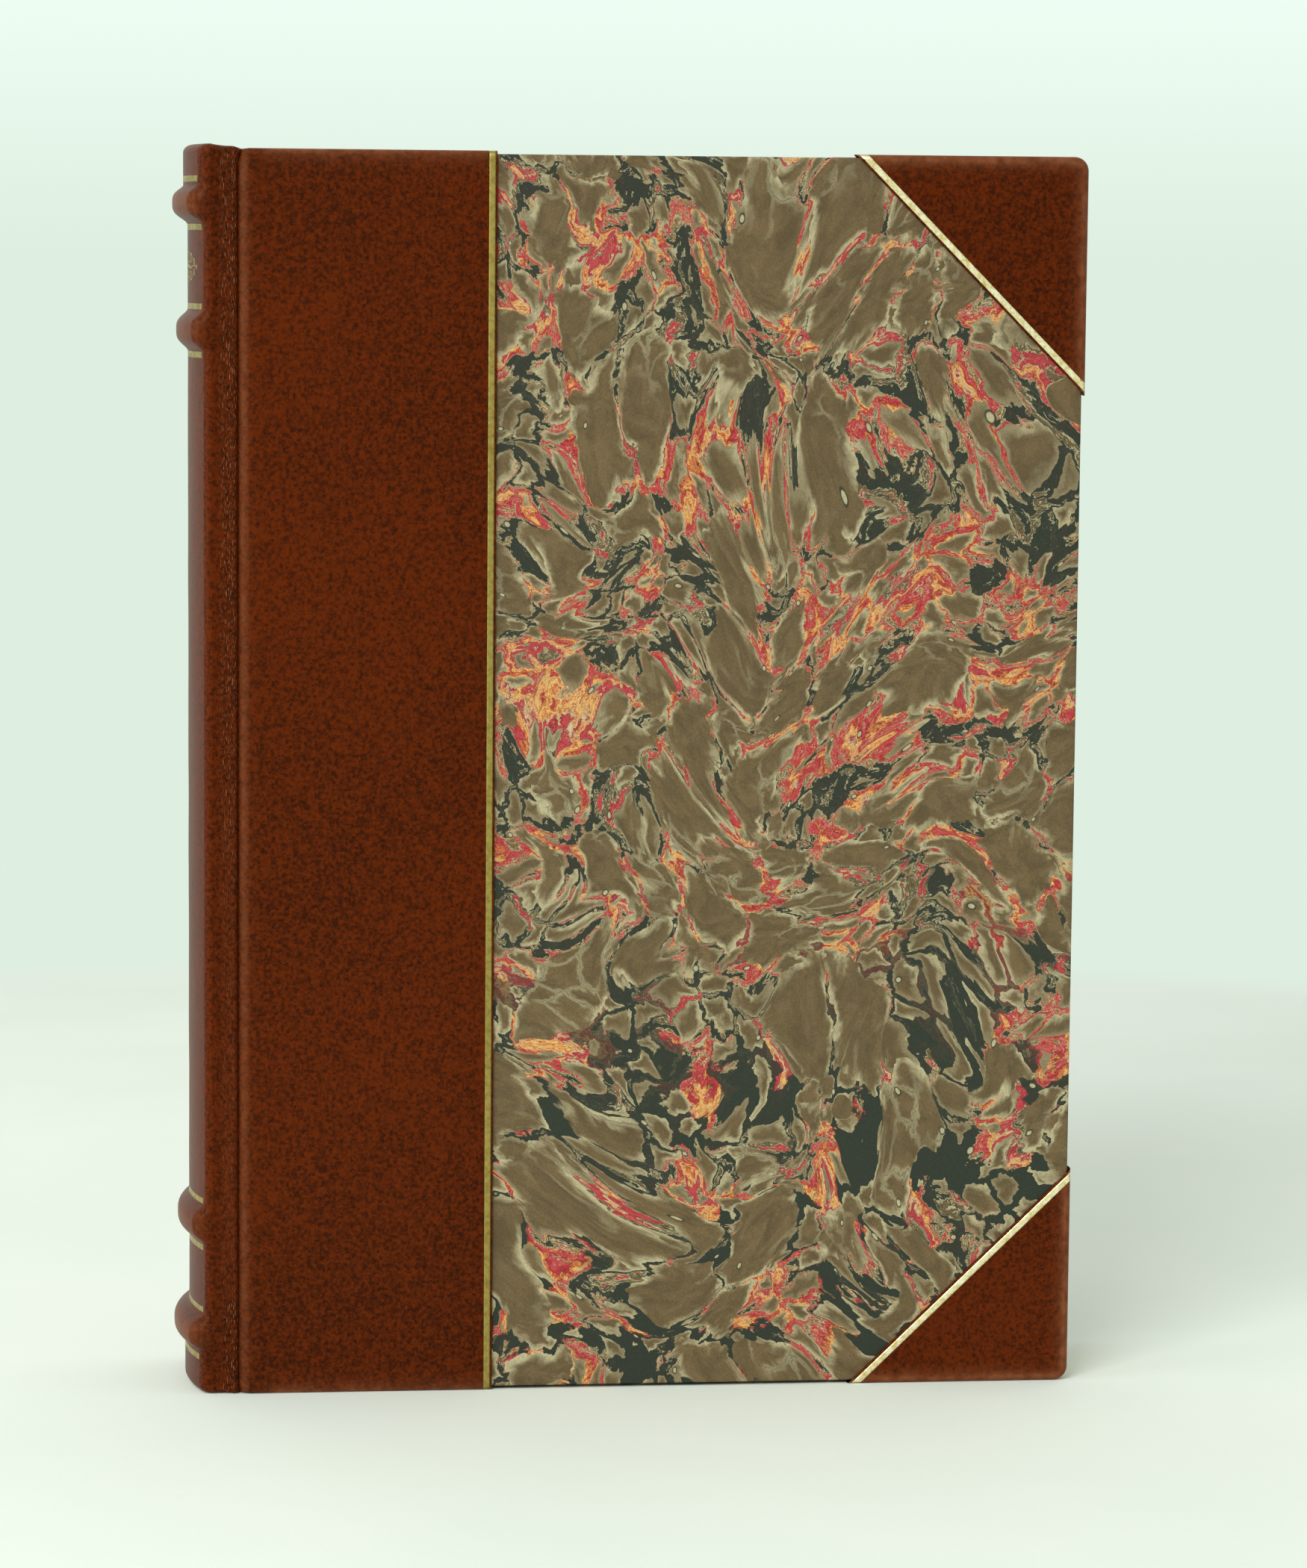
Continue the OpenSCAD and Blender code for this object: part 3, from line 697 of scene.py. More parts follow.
def cornerToRow(side, end, place, depth):
    across = book["wide"] - place[..., 0]
    high = place[..., 1] if end == "tail" else book["high"] - place[..., 1]
    return toRow(side, across, depth, high)


def makeCorner(name, side, end):
    place, depth, wearAndSheen = cornerGrid(corners[end])
    points = cornerToRow(side, end, place, depth)
    piece = makePiece(name + end.capitalize() + "Corner", points, gridFaces(*points.shape[:2]), leather,
                      skinFields(wearAndSheen, 0 * wearAndSheen), (0, side, 0), merge=True)
    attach(piece, name + "_cover")
    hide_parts(name + "_" + end + "_corner")


def makeCornerLine(name, side, end):
    # Gold strip along the diagonal, over the face and the rounded edges
    length, direction, inward = diagonal(corners[end])
    t = np.concatenate([np.linspace(0, 4, 90)[:-1], np.linspace(4, length - 4, 60),
                        np.linspace(length - 4, length, 90)[1:]])
    across = gilt["margin"] + gilt["line"] * stripShares
    start = np.array([corners[end]["along"], 0.0])
    place = start + t[:, None, None] * direction + across[None, :, None] * inward
    r = book["edgeRound"]
    place = np.maximum(place, 0.02)
    near = np.clip(r - place.min(axis=-1), 0, r)
    # The groove under the strip ends where the edge starts to round off
    depth = r - np.sqrt(r * r - near ** 2) - stripLift[None] + skin["groove"] * (1 - smooth(near / 0.2))
    points = cornerToRow(side, end, place, depth)
    name = name + end.capitalize() + "Line"
    return makePiece(name, points, gridFaces(*points.shape[:2]), paleGold, None, (0, side, 0))


for name, side in sides.items():
    for end in corners:
        makeCorner(name, side, end)
    strips = [makeSideLine(name, side)] + [makeCornerLine(name, side, end) for end in corners]
    for strip in strips:
        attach(strip, name + "_cover")
    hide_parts(name + "_gilt_lines")
print("corners and gilt lines made")

# A drag's middle line, pull, width, and the heights between which it works; a swirl's cell and reach; the
# paints, and their order in a vein
sheet = {"step": 0.8, "under": 3.0, "seed": {"front": 0, "back": 50},
         "drags": ((105, 22, 27, 80, 260), (72, -9, 14, 80, 190), (141, -9, 14, 70, 215), (90, 6, 9, -40, 60),
                   (158, 7, 12, 100, 250)), "swirls": ((44, 9), (21, 4.6), (10, 2.4), (4.8, 0.9)),
         "brown": paint(122, 103, 72), "dull": paint(98, 83, 57), "cream": paint(206, 197, 156),
         "black": paint(52, 58, 48), "crimson": paint(168, 40, 50), "rose": paint(196, 80, 82),
         "orange": paint(224, 152, 80), "yellow": paint(232, 190, 120),
         "veins": ((0.0, "black"), (0.12, "black"), (0.13, "cream"), (0.15, "dull"), (0.18, "brown"),
                   (0.195, "cream"), (0.21, "crimson"), (0.27, "rose"), (0.345, "crimson"), (0.355, "black"),
                   (0.37, "orange"), (0.4, "crimson"), (0.41, "orange"), (0.45, "yellow"), (0.48, "orange"),
                   (0.49, "crimson"), (0.5, "orange"), (0.54, "cream"), (0.56, "crimson"), (0.64, "rose"),
                   (0.71, "crimson"), (0.72, "cream"), (0.75, "dull"), (0.79, "brown"), (0.805, "black"),
                   (0.82, "brown"), (0.84, "cream"), (0.86, "black"), (1.0, "black"))}


def marbleFlow(a, b, seed):
    # Where the paint at (a, b) lay before it was drawn. Each drag moves the paint along its line, less and
    # less to both sides: exp of minus the rounded distance over the drag's width. Then come swirls of four
    # sizes, random shifts that vary smoothly over the swirl's cell.
    flowA, flowB = a.copy(), b.copy()
    for middle, pull, wide, low, high in sheet["drags"]:
        wobble = 9 * softNoise(b, b * 0 + middle, 45, 9, 80 + seed)
        window = smooth((b - low) / 45) * smooth((high - b) / 60)
        far = np.sqrt((a + wobble - middle) ** 2 + 2.5 ** 2) - 2.5
        flowB = flowB + pull * np.exp(-far / wide) * window
    for number, (cell, amount) in enumerate(sheet["swirls"], 1):
        turnA = amount * softNoise(flowA, flowB, cell, cell, 90 + number + seed)
        turnB = amount * 1.2 * softNoise(flowA, flowB, cell, cell, 95 + number + seed)
        flowA, flowB = flowA + turnA, flowB + turnB
    return flowA, flowB


def foldOver(t, inner, r, thick):
    # A sheet's coordinate past an edge: flat up to inner, quarter circle, edge, quarter circle, turned in
    arc = r * math.pi / 2
    flat = thick - 2 * r
    s = t - inner
    turn, back = s / r, (s - arc - flat) / r
    where = [s < 0, s < arc, s < arc + flat, s < 2 * arc + flat]
    place = np.select(where, [t, inner + r * np.sin(turn), inner + r + 0 * t, inner + r * np.cos(back)],
                      inner - (s - 2 * arc - flat))
    depth = np.select(where, [0 * t, r - r * np.cos(turn), r + (s - arc), thick - r + r * np.sin(back)], thick)
    return place, depth


def sheetStations(inner, r, thick, start):
    # Coordinates along the sheet: even steps on the face, close ones over the edges
    arc, flat = r * math.pi / 2, thick - 2 * r
    turn = np.linspace(0, arc, 5)[1:]
    bend = inner + np.concatenate([turn, arc + np.linspace(0, flat, 4)[1:], arc + flat + turn,
                                   2 * arc + flat + np.linspace(0, 13, 8)[1:]])
    count = int((inner - start) / sheet["step"])
    return np.concatenate([np.linspace(start, inner, count + 1), bend])


def makeSheet(name, side, material):
    deep = book["leather"] - book["paper"]
    r = book["edgeRound"] - deep
    thick = boardBack + book["paper"] - deep
    foreInner, headInner = book["wide"] - deep - r, book["high"] - deep - r
    a = sheetStations(foreInner, r, thick, book["leatherWide"] - 0.5)
    upper = sheetStations(headInner, r, thick, book["high"] / 2)
    b = np.concatenate([(book["high"] - upper)[:0:-1], upper])
    a, b = np.meshgrid(a, b, indexing="ij")
    across, depthA = foldOver(a, foreInner, r, thick)
    up, depthB = foldOver(book["high"] / 2 + np.abs(b - book["high"] / 2), headInner, r, thick)
    high = np.where(b < book["high"] / 2, book["high"] - up, up)
    wave = 0.025 * softNoise(a, b, 21, 26, 61) + 0.008 * softNoise(a, b, 5, 5, 62)
    depth = deep + np.maximum(depthA, depthB) - wave * (np.maximum(depthA, depthB) < 0.01)
    points = toRow(side, across, depth, high)
    faces = gridFaces(*a.shape)
    # The sheet ends a little way under the leather corners
    keep = ~((depthA > 0) & (depthB > 0))
    for end, legs in corners.items():
        along, down = legs["along"], legs["down"]
        fromEnd = high if end == "tail" else book["high"] - high
        beyond = along * down - (book["wide"] - across) * down - fromEnd * along
        keep &= beyond / diagonal(legs)[0] < sheet["under"]
    faces = faces[keep.ravel()[faces].all(axis=1)]
    flowA, flowB = marbleFlow(a, b, sheet["seed"][name])
    flow = np.stack([flowA, flowB, 0 * flowA + sheet["seed"][name]], axis=-1).astype(np.float32)
    used, faces = np.unique(faces, return_inverse=True)
    piece = makePiece(name + "MarbledPaper", points.reshape(-1, 3)[used], faces.reshape(-1, 4), material,
                      {"flow": flow.reshape(-1, 3)[used]}, (0, side, 0))
    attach(piece, name + "_cover")
    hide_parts(name + "_marbled_paper")


def drops(tree, place, wide, tall):
    # Drops of paint that press against each other: distance from a drop's border, and its random numbers
    cells = put(tree, "Mapping", {"Vector": place, "Scale": (1 / wide, 1 / tall, 1.0)}).outputs["Vector"]
    gap = voronoi(tree, cells, 1.0, "DISTANCE_TO_EDGE", "2D")["Distance"]
    cell = voronoi(tree, cells, 1.0, dimensions="2D")["Color"]
    return gap, put(tree, "SeparateColor", {"Color": cell}).outputs


def pushed(tree, place, scale, detail, rough, amount):
    # Moves a place by fractal noise of the given grain
    shift = noise(tree, place, scale, detail, rough, output="Color")
    shift = put(tree, "VectorMath", {0: shift, 1: (0.5, 0.5, 0.5)}, operation="SUBTRACT").outputs[0]
    shift = put(tree, "VectorMath", {0: shift, "Scale": amount}, operation="SCALE").outputs[0]
    return put(tree, "VectorMath", {0: place, 1: shift}, operation="ADD").outputs[0]


def marbledMaterial():
    # Brown drops of two sizes on the drawn-out flow coordinates. Between them lie veins of uneven width,
    # whose colours follow level lines of a noise and of the distance from the drops' borders
    material, tree, shader = startMaterial("marbledPaper")
    flow = field(tree, "flow", "Vector")
    bent = pushed(tree, flow, 0.15, 4.0, 0.56, 8.5)
    zone = noise(tree, flow, 0.024, 2.0, 0.5)
    gap, tone = drops(tree, bent, 12.5, 16.5)
    wide = spread(tree, zone, 0.4, 0.6, 0.06, 0.235)
    wide = times(tree, wide, spread(tree, tone[1], 0.0, 1.0, 0.4, 1.6, "LINEAR"))
    wide = calc(tree, "ADD", wide, spread(tree, timesPlus(tree, zone, 1.6, tone[2]), 1.46, 1.5, 0.0, 1.0))
    reach = calc(tree, "DIVIDE", gap, wide)
    smallGap, smallTone = drops(tree, bent, 4.8, 5.6)
    smallWide = spread(tree, smallTone[1], 0.25, 1.0, 0.1, 0.5)
    smallReach = calc(tree, "DIVIDE", smallGap, smallWide)
    # Level lines: the noise is bent once more where the paints ran into each other
    ran = pushed(tree, bent, 0.3, 4.0, 0.6, 6.0)
    broad = noise(tree, ran, 0.055, 2.0, 0.5, 0.4)
    nested = times(tree, calc(tree, "MINIMUM", reach, 1.0), 0.14)
    nested = timesPlus(tree, calc(tree, "MINIMUM", smallReach, 1.0), 0.16, nested)
    lines = noise(tree, ran, 0.5, 3.0, 0.55)
    level = timesPlus(tree, broad, 2.9, timesPlus(tree, lines, 0.5, nested))
    hue = calc(tree, "FRACT", calc(tree, "ADD", level, 0.35))
    stops = [(at, sheet[color]) for at, color in sheet["veins"]]
    vein = ramp(tree, hue, stops)
    # Thin lines of another paint curl through each vein
    curls = noise(tree, ran, 0.34, 3.0, 0.6, 0.6)
    curls = calc(tree, "FRACT", timesPlus(tree, curls, 9.0, level))
    thin = times(tree, spread(tree, curls, 0.34, 0.4), spread(tree, curls, 0.46, 0.52, 1.0, 0.0))
    other = ramp(tree, calc(tree, "FRACT", calc(tree, "ADD", level, 0.62)), stops)
    colored = times(tree, spread(tree, hue, 0.12, 0.15), spread(tree, hue, 0.84, 0.86, 1.0, 0.0))
    thin = times(tree, thin, spread(tree, colored, 0, 1, 0.12, 0.75))
    vein = blendColor(tree, thin, vein, other)
    pale = times(tree, spread(tree, curls, 0.75, 0.9), spread(tree, noise(tree, ran, 0.2, 2.0), 0.5, 0.62))
    pale = times(tree, pale, spread(tree, colored, 0, 1, 0.1, 0.6))
    vein = blendColor(tree, pale, vein, sheet["cream"])
    # Black paint lies between the drops in the sheet's lower part
    lowPart = spread(tree, split(tree, flow)[1], 60, 120, 1.0, 0.0)
    dark = spread(tree, noise(tree, ran, 0.07, 2.0, 0.5, 0.3), 0.5, 0.52)
    vein = blendColor(tree, times(tree, dark, lowPart), vein, sheet["black"])
    # Brown paint: soft clouds and pale haze along the drops' rims
    cloud = noise(tree, bent, 0.35, 4.0, 0.6)
    brown = ramp(tree, cloud, [(0.34, sheet["dull"]), (0.62, sheet["brown"])])
    brown = blendColor(tree, times(tree, tone[0], 0.3), brown, sheet["dull"])
    patch = spread(tree, noise(tree, bent, 0.16, 3.0, 0.6), 0.42, 0.62)
    haze = times(tree, spread(tree, calc(tree, "SUBTRACT", gap, wide), 0.0, 0.11, 0.85, 0.0), patch)
    large = blendColor(tree, haze, brown, sheet["cream"])
    # Older drops show through the large ones as pale hazy borders with a thin dark line
    older = spread(tree, noise(tree, flow, 0.05, 3.0, 0.55), 0.5, 0.62)
    rim = times(tree, spread(tree, smallGap, 0.0, 0.14, 0.5, 0.0), older)
    large = blendColor(tree, rim, large, sheet["cream"])
    rimLine = times(tree, spread(tree, smallGap, 0.01, 0.03, 0.5, 0.0), older)
    large = blendColor(tree, rimLine, large, sheet["black"])
    smallHaze = spread(tree, calc(tree, "SUBTRACT", smallGap, smallWide), 0.0, 0.22, 0.75, 0.0)
    smallHaze = times(tree, smallHaze, spread(tree, patch, 0, 1, 0.35, 1.0))
    small = blendColor(tree, smallHaze, brown, sheet["cream"])
    color = blendColor(tree, spread(tree, smallReach, 0.97, 1.02), vein, small)
    color = blendColor(tree, spread(tree, reach, 0.97, 1.02), color, large)
    # Few ring specks: a pale dot in a black ring
    specks = voronoi(tree, flow, 0.13, dimensions="2D")
    chosen = spread(tree, put(tree, "SeparateColor", {"Color": specks["Color"]}).outputs[0], 0.8, 0.81)
    ring = times(tree, spread(tree, specks["Distance"], 0.075, 0.09, 1.0, 0.0), chosen)
    dot = times(tree, spread(tree, specks["Distance"], 0.045, 0.06, 1.0, 0.0), chosen)
    color = blendColor(tree, times(tree, ring, 0.8), color, sheet["black"])
    color = blendColor(tree, times(tree, dot, 0.8), color, sheet["cream"])
    # Fine screen over all
    place = inMillimetres(tree)
    screen = voronoi(tree, place, 3.6)["Distance"]
    fine = noise(tree, place, 2.4, 3.0)
    grainy = timesPlus(tree, screen, 0.4, timesPlus(tree, fine, 0.35, 0.6))
    shade = put(tree, "CombineColor", {"Red": grainy, "Green": grainy, "Blue": grainy}).outputs[0]
    color = blendColor(tree, 1.0, color, shade, "MULTIPLY")
    feed(tree, shader, {"Base Color": color, "Roughness": 0.6, "Specular IOR Level": 0.16,
                        "Normal": bump(tree, fine, 0.00003, 0.4)})
    return material


marbled = marbledMaterial()
for name, side in sides.items():
    makeSheet(name, side, marbled)
print("marbled paper made")

pages = {"blockHalf": 12.45, "spread": 15.55, "back": 42.476, "shoulder": -1.8, "shoulderRound": 1.5,
         "fore": 163.9, "hollow": 2.6, "low": 3.5, "high": 242.5, "leaves": 150,
         "tones": (paint(196, 182, 150), paint(228, 218, 192), paint(240, 233, 212)),
         "gathering": paint(202, 186, 150), "cloud": paint(214, 198, 160)}


def leafEdge(seed, t, length):
    # Leaves end a hair unevenly: fine jitter from leaf to leaf on slow waves from gathering to gathering
    fine = softNoise(t * 700, length, 1.0, 40, seed)
    slow = softNoise(t * 22, length, 1.0, 70, seed + 1)
    return 0.035 * fine + 0.07 * slow


def makePages(material):
    # Text block: leaf by leaf from front to back (t from -1 to 1), closed by the four trimmed and rounded
    # faces and by the first and last leaf. Near the back the leaves fan out over the shoulders.
    t = np.linspace(-1, 1, pages["leaves"] + 1)[:, None]
    half, tip, low, high = (pages[key] for key in ("blockHalf", "spread", "low", "high"))
    hollowRadius = (half ** 2 + pages["hollow"] ** 2) / (2 * pages["hollow"])
    foreX = pages["fore"] - pages["hollow"] + hollowRadius - np.sqrt(hollowRadius ** 2 - (t * half) ** 2)
    backX = arcMiddle - np.sqrt(pages["back"] ** 2 - (t * tip) ** 2)
    tipX = arcMiddle - math.sqrt(pages["back"] ** 2 - tip ** 2)
    shoulderEnd = pages["shoulder"] + pages["shoulderRound"]

    def halfAt(x):
        # Half thickness along the block: flat, then the shoulder's quarter circle and its tip
        r, rise = pages["shoulderRound"], shoulderEnd - x
        curve = half + r - np.sqrt(np.maximum(r ** 2 - rise ** 2, 0))
        return np.where(x > shoulderEnd, half, np.where(x > pages["shoulder"], curve, tip))

    # Three runs of columns: behind the shoulders' tips, on to the shoulders' end, and along the block
    run = [np.linspace(0, 1, 9)[:-1], 1 + np.linspace(0, 1, 10)[:-1], 2 + np.linspace(0, 1, 40)]
    run = np.concatenate(run)[None]
    fan = np.maximum(tipX + 1.0, backX)
    x = np.where(run < 1, backX + (fan - backX) * run,
                 np.where(run < 2, fan + (shoulderEnd - fan) * (run - 1),
                          shoulderEnd + (foreX - shoulderEnd) * (run - 2)))
    y = t * halfAt(x)
    trim = smooth((1 - np.abs(t)) / 0.04)
    headZ = high + leafEdge(101, t, x) * trim
    tailZ = low - leafEdge(111, t, x) * trim
    up = np.linspace(low, high, 90)[None]
    grids, outwards, marks = [], [], []

    def face(px, py, pz, outward, leaf=t):
        grids.append(toFrame(px, py, pz))
        outwards.append(outward)
        marks.append(np.broadcast_to(leaf, grids[-1].shape[:2]).ravel())

    def levels(column):
        # Heights between the uneven tail and head at the leaves' ends in one column
        head, tail = headZ[:, column, None], tailZ[:, column, None]
        return head + (up - high) * (head - tail) / (high - low)

    face(x, y, headZ, (0, 0, 1))
    face(x, y, tailZ, (0, 0, -1))
    rest = smooth((up - low) / 2) * smooth((high - up) / 2)
    face(foreX + leafEdge(121, t, up) * rest, t * half, levels(-1), (1, 0, 0))
    face(backX, t * tip, levels(0), (-1, 0, 0))
    for row, way in ((0, -1), (-1, 1)):
        face(x[row], y[row], np.stack([tailZ[row], headZ[row]]), (0, way, 0), float(way))
    piece = makePiece("pages", *joinGrids(grids, outwards), material,
                      {"leaf": np.concatenate(marks).astype(np.float32)})
    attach(piece, "book_block")
    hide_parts("text_block")


def pagesMaterial():
    # Cut leaf edges: lines at each leaf from the leaf field, darker where gatherings meet, faint clouds
    material, tree, shader = startMaterial("pageEdges")
    place = inMillimetres(tree)
    leaf = field(tree, "leaf")
    position = split(tree, place)
    line = put(tree, "CombineXYZ", {"X": times(tree, leaf, 95.0),
                                    "Y": times(tree, position[2], 0.012),
                                    "Z": times(tree, position[0], 0.012)}).outputs[0]
    fine = noise(tree, line, 1.6, 3.0, 0.7)
    broad = noise(tree, line, 0.16, 2.0, 0.5)
    cloud = noise(tree, place, 0.03, 3.0)
    color = ramp(tree, fine, list(zip((0.3, 0.5, 0.7), pages["tones"])))
    color = blendColor(tree, spread(tree, broad, 0.4, 0.7, 0.0, 0.3), color, pages["gathering"])
    color = blendColor(tree, spread(tree, cloud, 0.45, 0.75, 0.0, 0.35), color, pages["cloud"])
    feed(tree, shader, {"Base Color": color, "Roughness": 0.75, "Specular IOR Level": 0.2,
                        "Normal": bump(tree, fine, 0.0001, 0.6)})
    return material


makePages(pagesMaterial())
print("pages made")

silk = {"across": 1.8, "skirt": 8.0, "stripe": 2.6, "thread": 0.24, "crimson": paint(150, 34, 36),
        "cream": paint(226, 208, 160), "gap": paint(60, 30, 22)}


def makeEndband(name, way, material):
    # Sewn silk: a round cord along the pages' back, threads side by side round it; behind, the threads run
    # down as a flat skirt between pages and lining
    edge = pages["high"] if way > 0 else pages["low"]
    reach = pages["back"] - 0.02
    limit = math.asin((pages["spread"] - 0.2) / reach)
    turn = np.linspace(-limit, limit, 720)[:, None]
    along = turn * reach
    thread = 0.035 * np.abs(np.sin(along * math.pi / silk["thread"]))
    r = silk["across"] / 2
    around = np.linspace(-math.pi / 2, math.pi * 1.25, 20)[None]
    # The cord stands on the pages: its middle lies one radius in from their back and one radius above them
    cordOut = reach - r + (r - 0.04 + thread) * np.cos(around)
    cordUp = r + (r - 0.04 + thread) * np.sin(around)
    out = np.hstack([np.broadcast_to(reach - 0.02 + thread, (len(turn), 1)), cordOut[:, 1:]])
    up = np.hstack([-silk["skirt"] + 0 * turn, cordUp[:, 1:]])
    grid = toFrame(arcMiddle - out * np.cos(turn), out * np.sin(turn), edge + way * up)
    fields = {"along": np.broadcast_to(along, up.shape).astype(np.float32)}
    piece = makePiece(name + "Endband", grid, gridFaces(*up.shape), material, fields, (0, 0, way))
    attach(piece, "book_block")
    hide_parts(name + "_endband")


def silkMaterial():
    # Stripes of two silks that lie round the cord, with a sheen along the threads
    material, tree, shader = startMaterial("endbandSilk")
    along = field(tree, "along")
    wave = calc(tree, "SINE", times(tree, along, 2 * math.pi / silk["stripe"]))
    color = blendColor(tree, spread(tree, wave, -0.12, 0.12), silk["crimson"], silk["cream"])
    threads = calc(tree, "ABSOLUTE", calc(tree, "SINE", times(tree, along, math.pi / silk["thread"])))
    # Painted shade darkens the gaps between the threads
    color = blendColor(tree, spread(tree, threads, 0.0, 0.5, 0.55, 0.0), color, silk["gap"])
    feed(tree, shader, {"Base Color": color, "Roughness": 0.5, "Sheen Weight": 0.3,
                        "Normal": bump(tree, threads, 0.00005, 0.6)})
    return material


threads = silkMaterial()
for name, way in (("tail", -1), ("head", 1)):
    makeEndband(name, way, threads)

# The joint's strip of paper: its path in plan, from the flyleaf over the shoulder and into the joint to the
# board, how much shorter it is at head and tail, rounds of softening, and where it bends, on a line that leans
# away from the book's middle plane
endsheet = {"low": 3.5, "high": 242.5, "short": 0.3, "softened": 6, "lean": 0.6, "bend": (7.6, 8.6),
            "path": ((4.0, 12.72), (0.0, 12.72), (-0.9, 13.05), (-1.5, 13.7), (-1.85, 14.45), (-1.75, 15.1),
                     (-1.2, 15.55), (-0.5, 15.7), (0.2, 15.5), (0.62, 14.9), (0.66, 14.0), (0.9, 13.35),
                     (1.6, 13.18), (5.0, 13.18))}


def paperMaterial(name, color, dark, rough=0.8):
    # Uncoated paper: soft clouds, short fibres, fine tooth
    material, tree, shader = startMaterial(name)
    place = inMillimetres(tree)
    cloud = noise(tree, place, 0.06, 4.0, 0.55)
    stretched = put(tree, "Mapping", {"Vector": place, "Scale": (0.5, 2.4, 2.4)}).outputs["Vector"]
    fibre = noise(tree, stretched, 1.2, 4.0, 0.65)
    tone = timesPlus(tree, cloud, 0.6, times(tree, fibre, 0.4))
    feed(tree, shader, {"Base Color": ramp(tree, tone, [(0.38, dark), (0.6, color)]), "Roughness": rough,
                        "Specular IOR Level": 0.2, "Normal": bump(tree, fibre, 0.00005, 0.4)})
    return material


def clothMaterial(name, color, dark, pitch):
    # Open woven cloth: two crossed waves, warp and weft
    material, tree, shader = startMaterial(name)
    place = inMillimetres(tree)
    position = split(tree, place)
    warp = calc(tree, "SINE", times(tree, position[1], 2 * math.pi / pitch))
    weft = calc(tree, "SINE", times(tree, position[2], 2 * math.pi / pitch))
    weave = calc(tree, "MAXIMUM", warp, weft)
    feed(tree, shader, {"Base Color": blendColor(tree, spread(tree, weave, -0.4, 0.8), dark, color),
                        "Roughness": 0.85, "Normal": bump(tree, weave, 0.00006, 0.6)})
    return material


endpaper = paperMaterial("endpaper", paint(238, 231, 212), paint(233, 226, 206))
card = paperMaterial("greyBoard", paint(158, 140, 112), paint(128, 112, 90), 0.85)
mull = clothMaterial("mull", paint(226, 220, 202), paint(176, 166, 142), 0.7)
dress = {name + ending: material for name in ("front", "back")
         for ending, material in (("_flyleaf", endpaper), ("_pastedown", endpaper), ("_board", card))}
dress.update({"spine_stiffener": card, "spine_lining": mull})
dress.update({f"band_core_{number}": card for number in range(1, 5)})
for node, material in dress.items():
    for carried in [o for o in bpy.data.objects if o.type == "MESH" and o.name.split(".")[0] == node]:
        for slot in carried.material_slots:
            slot.material = material


def makeJointPaper(name, side):
    # The folded sheet between flyleaf and pastedown
    path = np.array(endsheet["path"])
    t = np.concatenate([[0], np.cumsum(np.linalg.norm(np.diff(path, axis=0), axis=1))])
    s = np.linspace(0, t[-1], 90)
    x, y = np.interp(s, t, path[:, 0]), np.interp(s, t, path[:, 1])
    soften = np.array([0.25, 0.5, 0.25])
    for _ in range(endsheet["softened"]):
        x[1:-1], y[1:-1] = np.convolve(x, soften, "valid"), np.convolve(y, soften, "valid")
    high = np.linspace(endsheet["low"] + endsheet["short"], endsheet["high"] - endsheet["short"], 120)
    grid = toFrame(x[:, None], side * y[:, None], high[None])
    piece = makePiece(name + "JointPaper", grid, gridFaces(*grid.shape[:2]), endpaper, None, (0, side, 0))
    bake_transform(piece)


for name, side in sides.items():
    makeJointPaper(name, side)
print("endbands and endpapers made")

studio = {"floor": paint(246, 255, 246), "shade": paint(240, 251, 241), "wall": paint(239, 254, 244),
          "low": paint(222, 238, 224), "room": paint(96, 96, 92), "sky": (0.985, 1.0, 0.955, 1.0),
          "world": 0.6, "dim": 0.16, "panels": 1.8, "reach": 6.0, "round": 530.0, "front": 420.0, "fade": 60}


def backdropRays(tree):
    # The rays that see the plain pale backdrop: the camera's, those that gold reflects and those through glass
    path = put(tree, "LightPath").outputs
    passedOn = calc(tree, "MAXIMUM", path["Is Glossy Ray"], path["Is Transmission Ray"])
    return calc(tree, "MAXIMUM", path["Is Camera Ray"], passedOn)


def makeFloor():
    # Pale cloth that fades into the wall beyond the table's end
    corner = studio["reach"] * np.array([[-1, -1, 0], [1, -1, 0], [1, 1, 0], [-1, 1, 0]], float)
    material, tree, shader = startMaterial("paleCloth")
    place = inMillimetres(tree)
    soft = noise(tree, place, 0.009, 3.0, 0.5)
    fine = noise(tree, place, 1.3, 3.0, 0.6)
    color = ramp(tree, timesPlus(tree, fine, 0.25, times(tree, soft, 0.75)),
                 [(0.35, studio["shade"]), (0.62, studio["floor"])])
    # Diffuse rays find the table's end some way in front of the book, where the room is dim
    position = split(tree, place)
    seen = backdropRays(tree)
    front = spread(tree, position[1], -studio["front"] - studio["fade"], -studio["front"])
    color = blendColor(tree, calc(tree, "MAXIMUM", front, seen), studio["room"], color)
    feed(tree, shader, {"Base Color": color, "Roughness": 0.9, "Specular IOR Level": 0.1,
                        "Normal": bump(tree, fine, 0.0001, 0.3)})
    far = put(tree, "VectorMath", {0: place}, operation="LENGTH").outputs["Value"]
    # Towards the key light the cloth ends sooner, before it would grow too bright
    near = calc(tree, "MAXIMUM", spread(tree, position[1], -300, -150, 1.0, 0.0),
                spread(tree, position[0], -420, -260, 1.0, 0.0))
    beyond = calc(tree, "MAXIMUM", spread(tree, far, studio["round"], studio["round"] + studio["fade"]), near)
    beyond = times(tree, beyond, seen)
    wall = put(tree, "Emission", {"Color": studio["low"], "Strength": 1.0})
    mixed = put(tree, "MixShader", {0: beyond, 1: shader.outputs[0], 2: wall.outputs[0]})
    tree.links.new(mixed.outputs[0], tree.nodes["Material Output"].inputs["Surface"])
    floor = makePiece("floor", corner, np.array([[0, 1, 2, 3]]), material, None, (0, 0, 1))


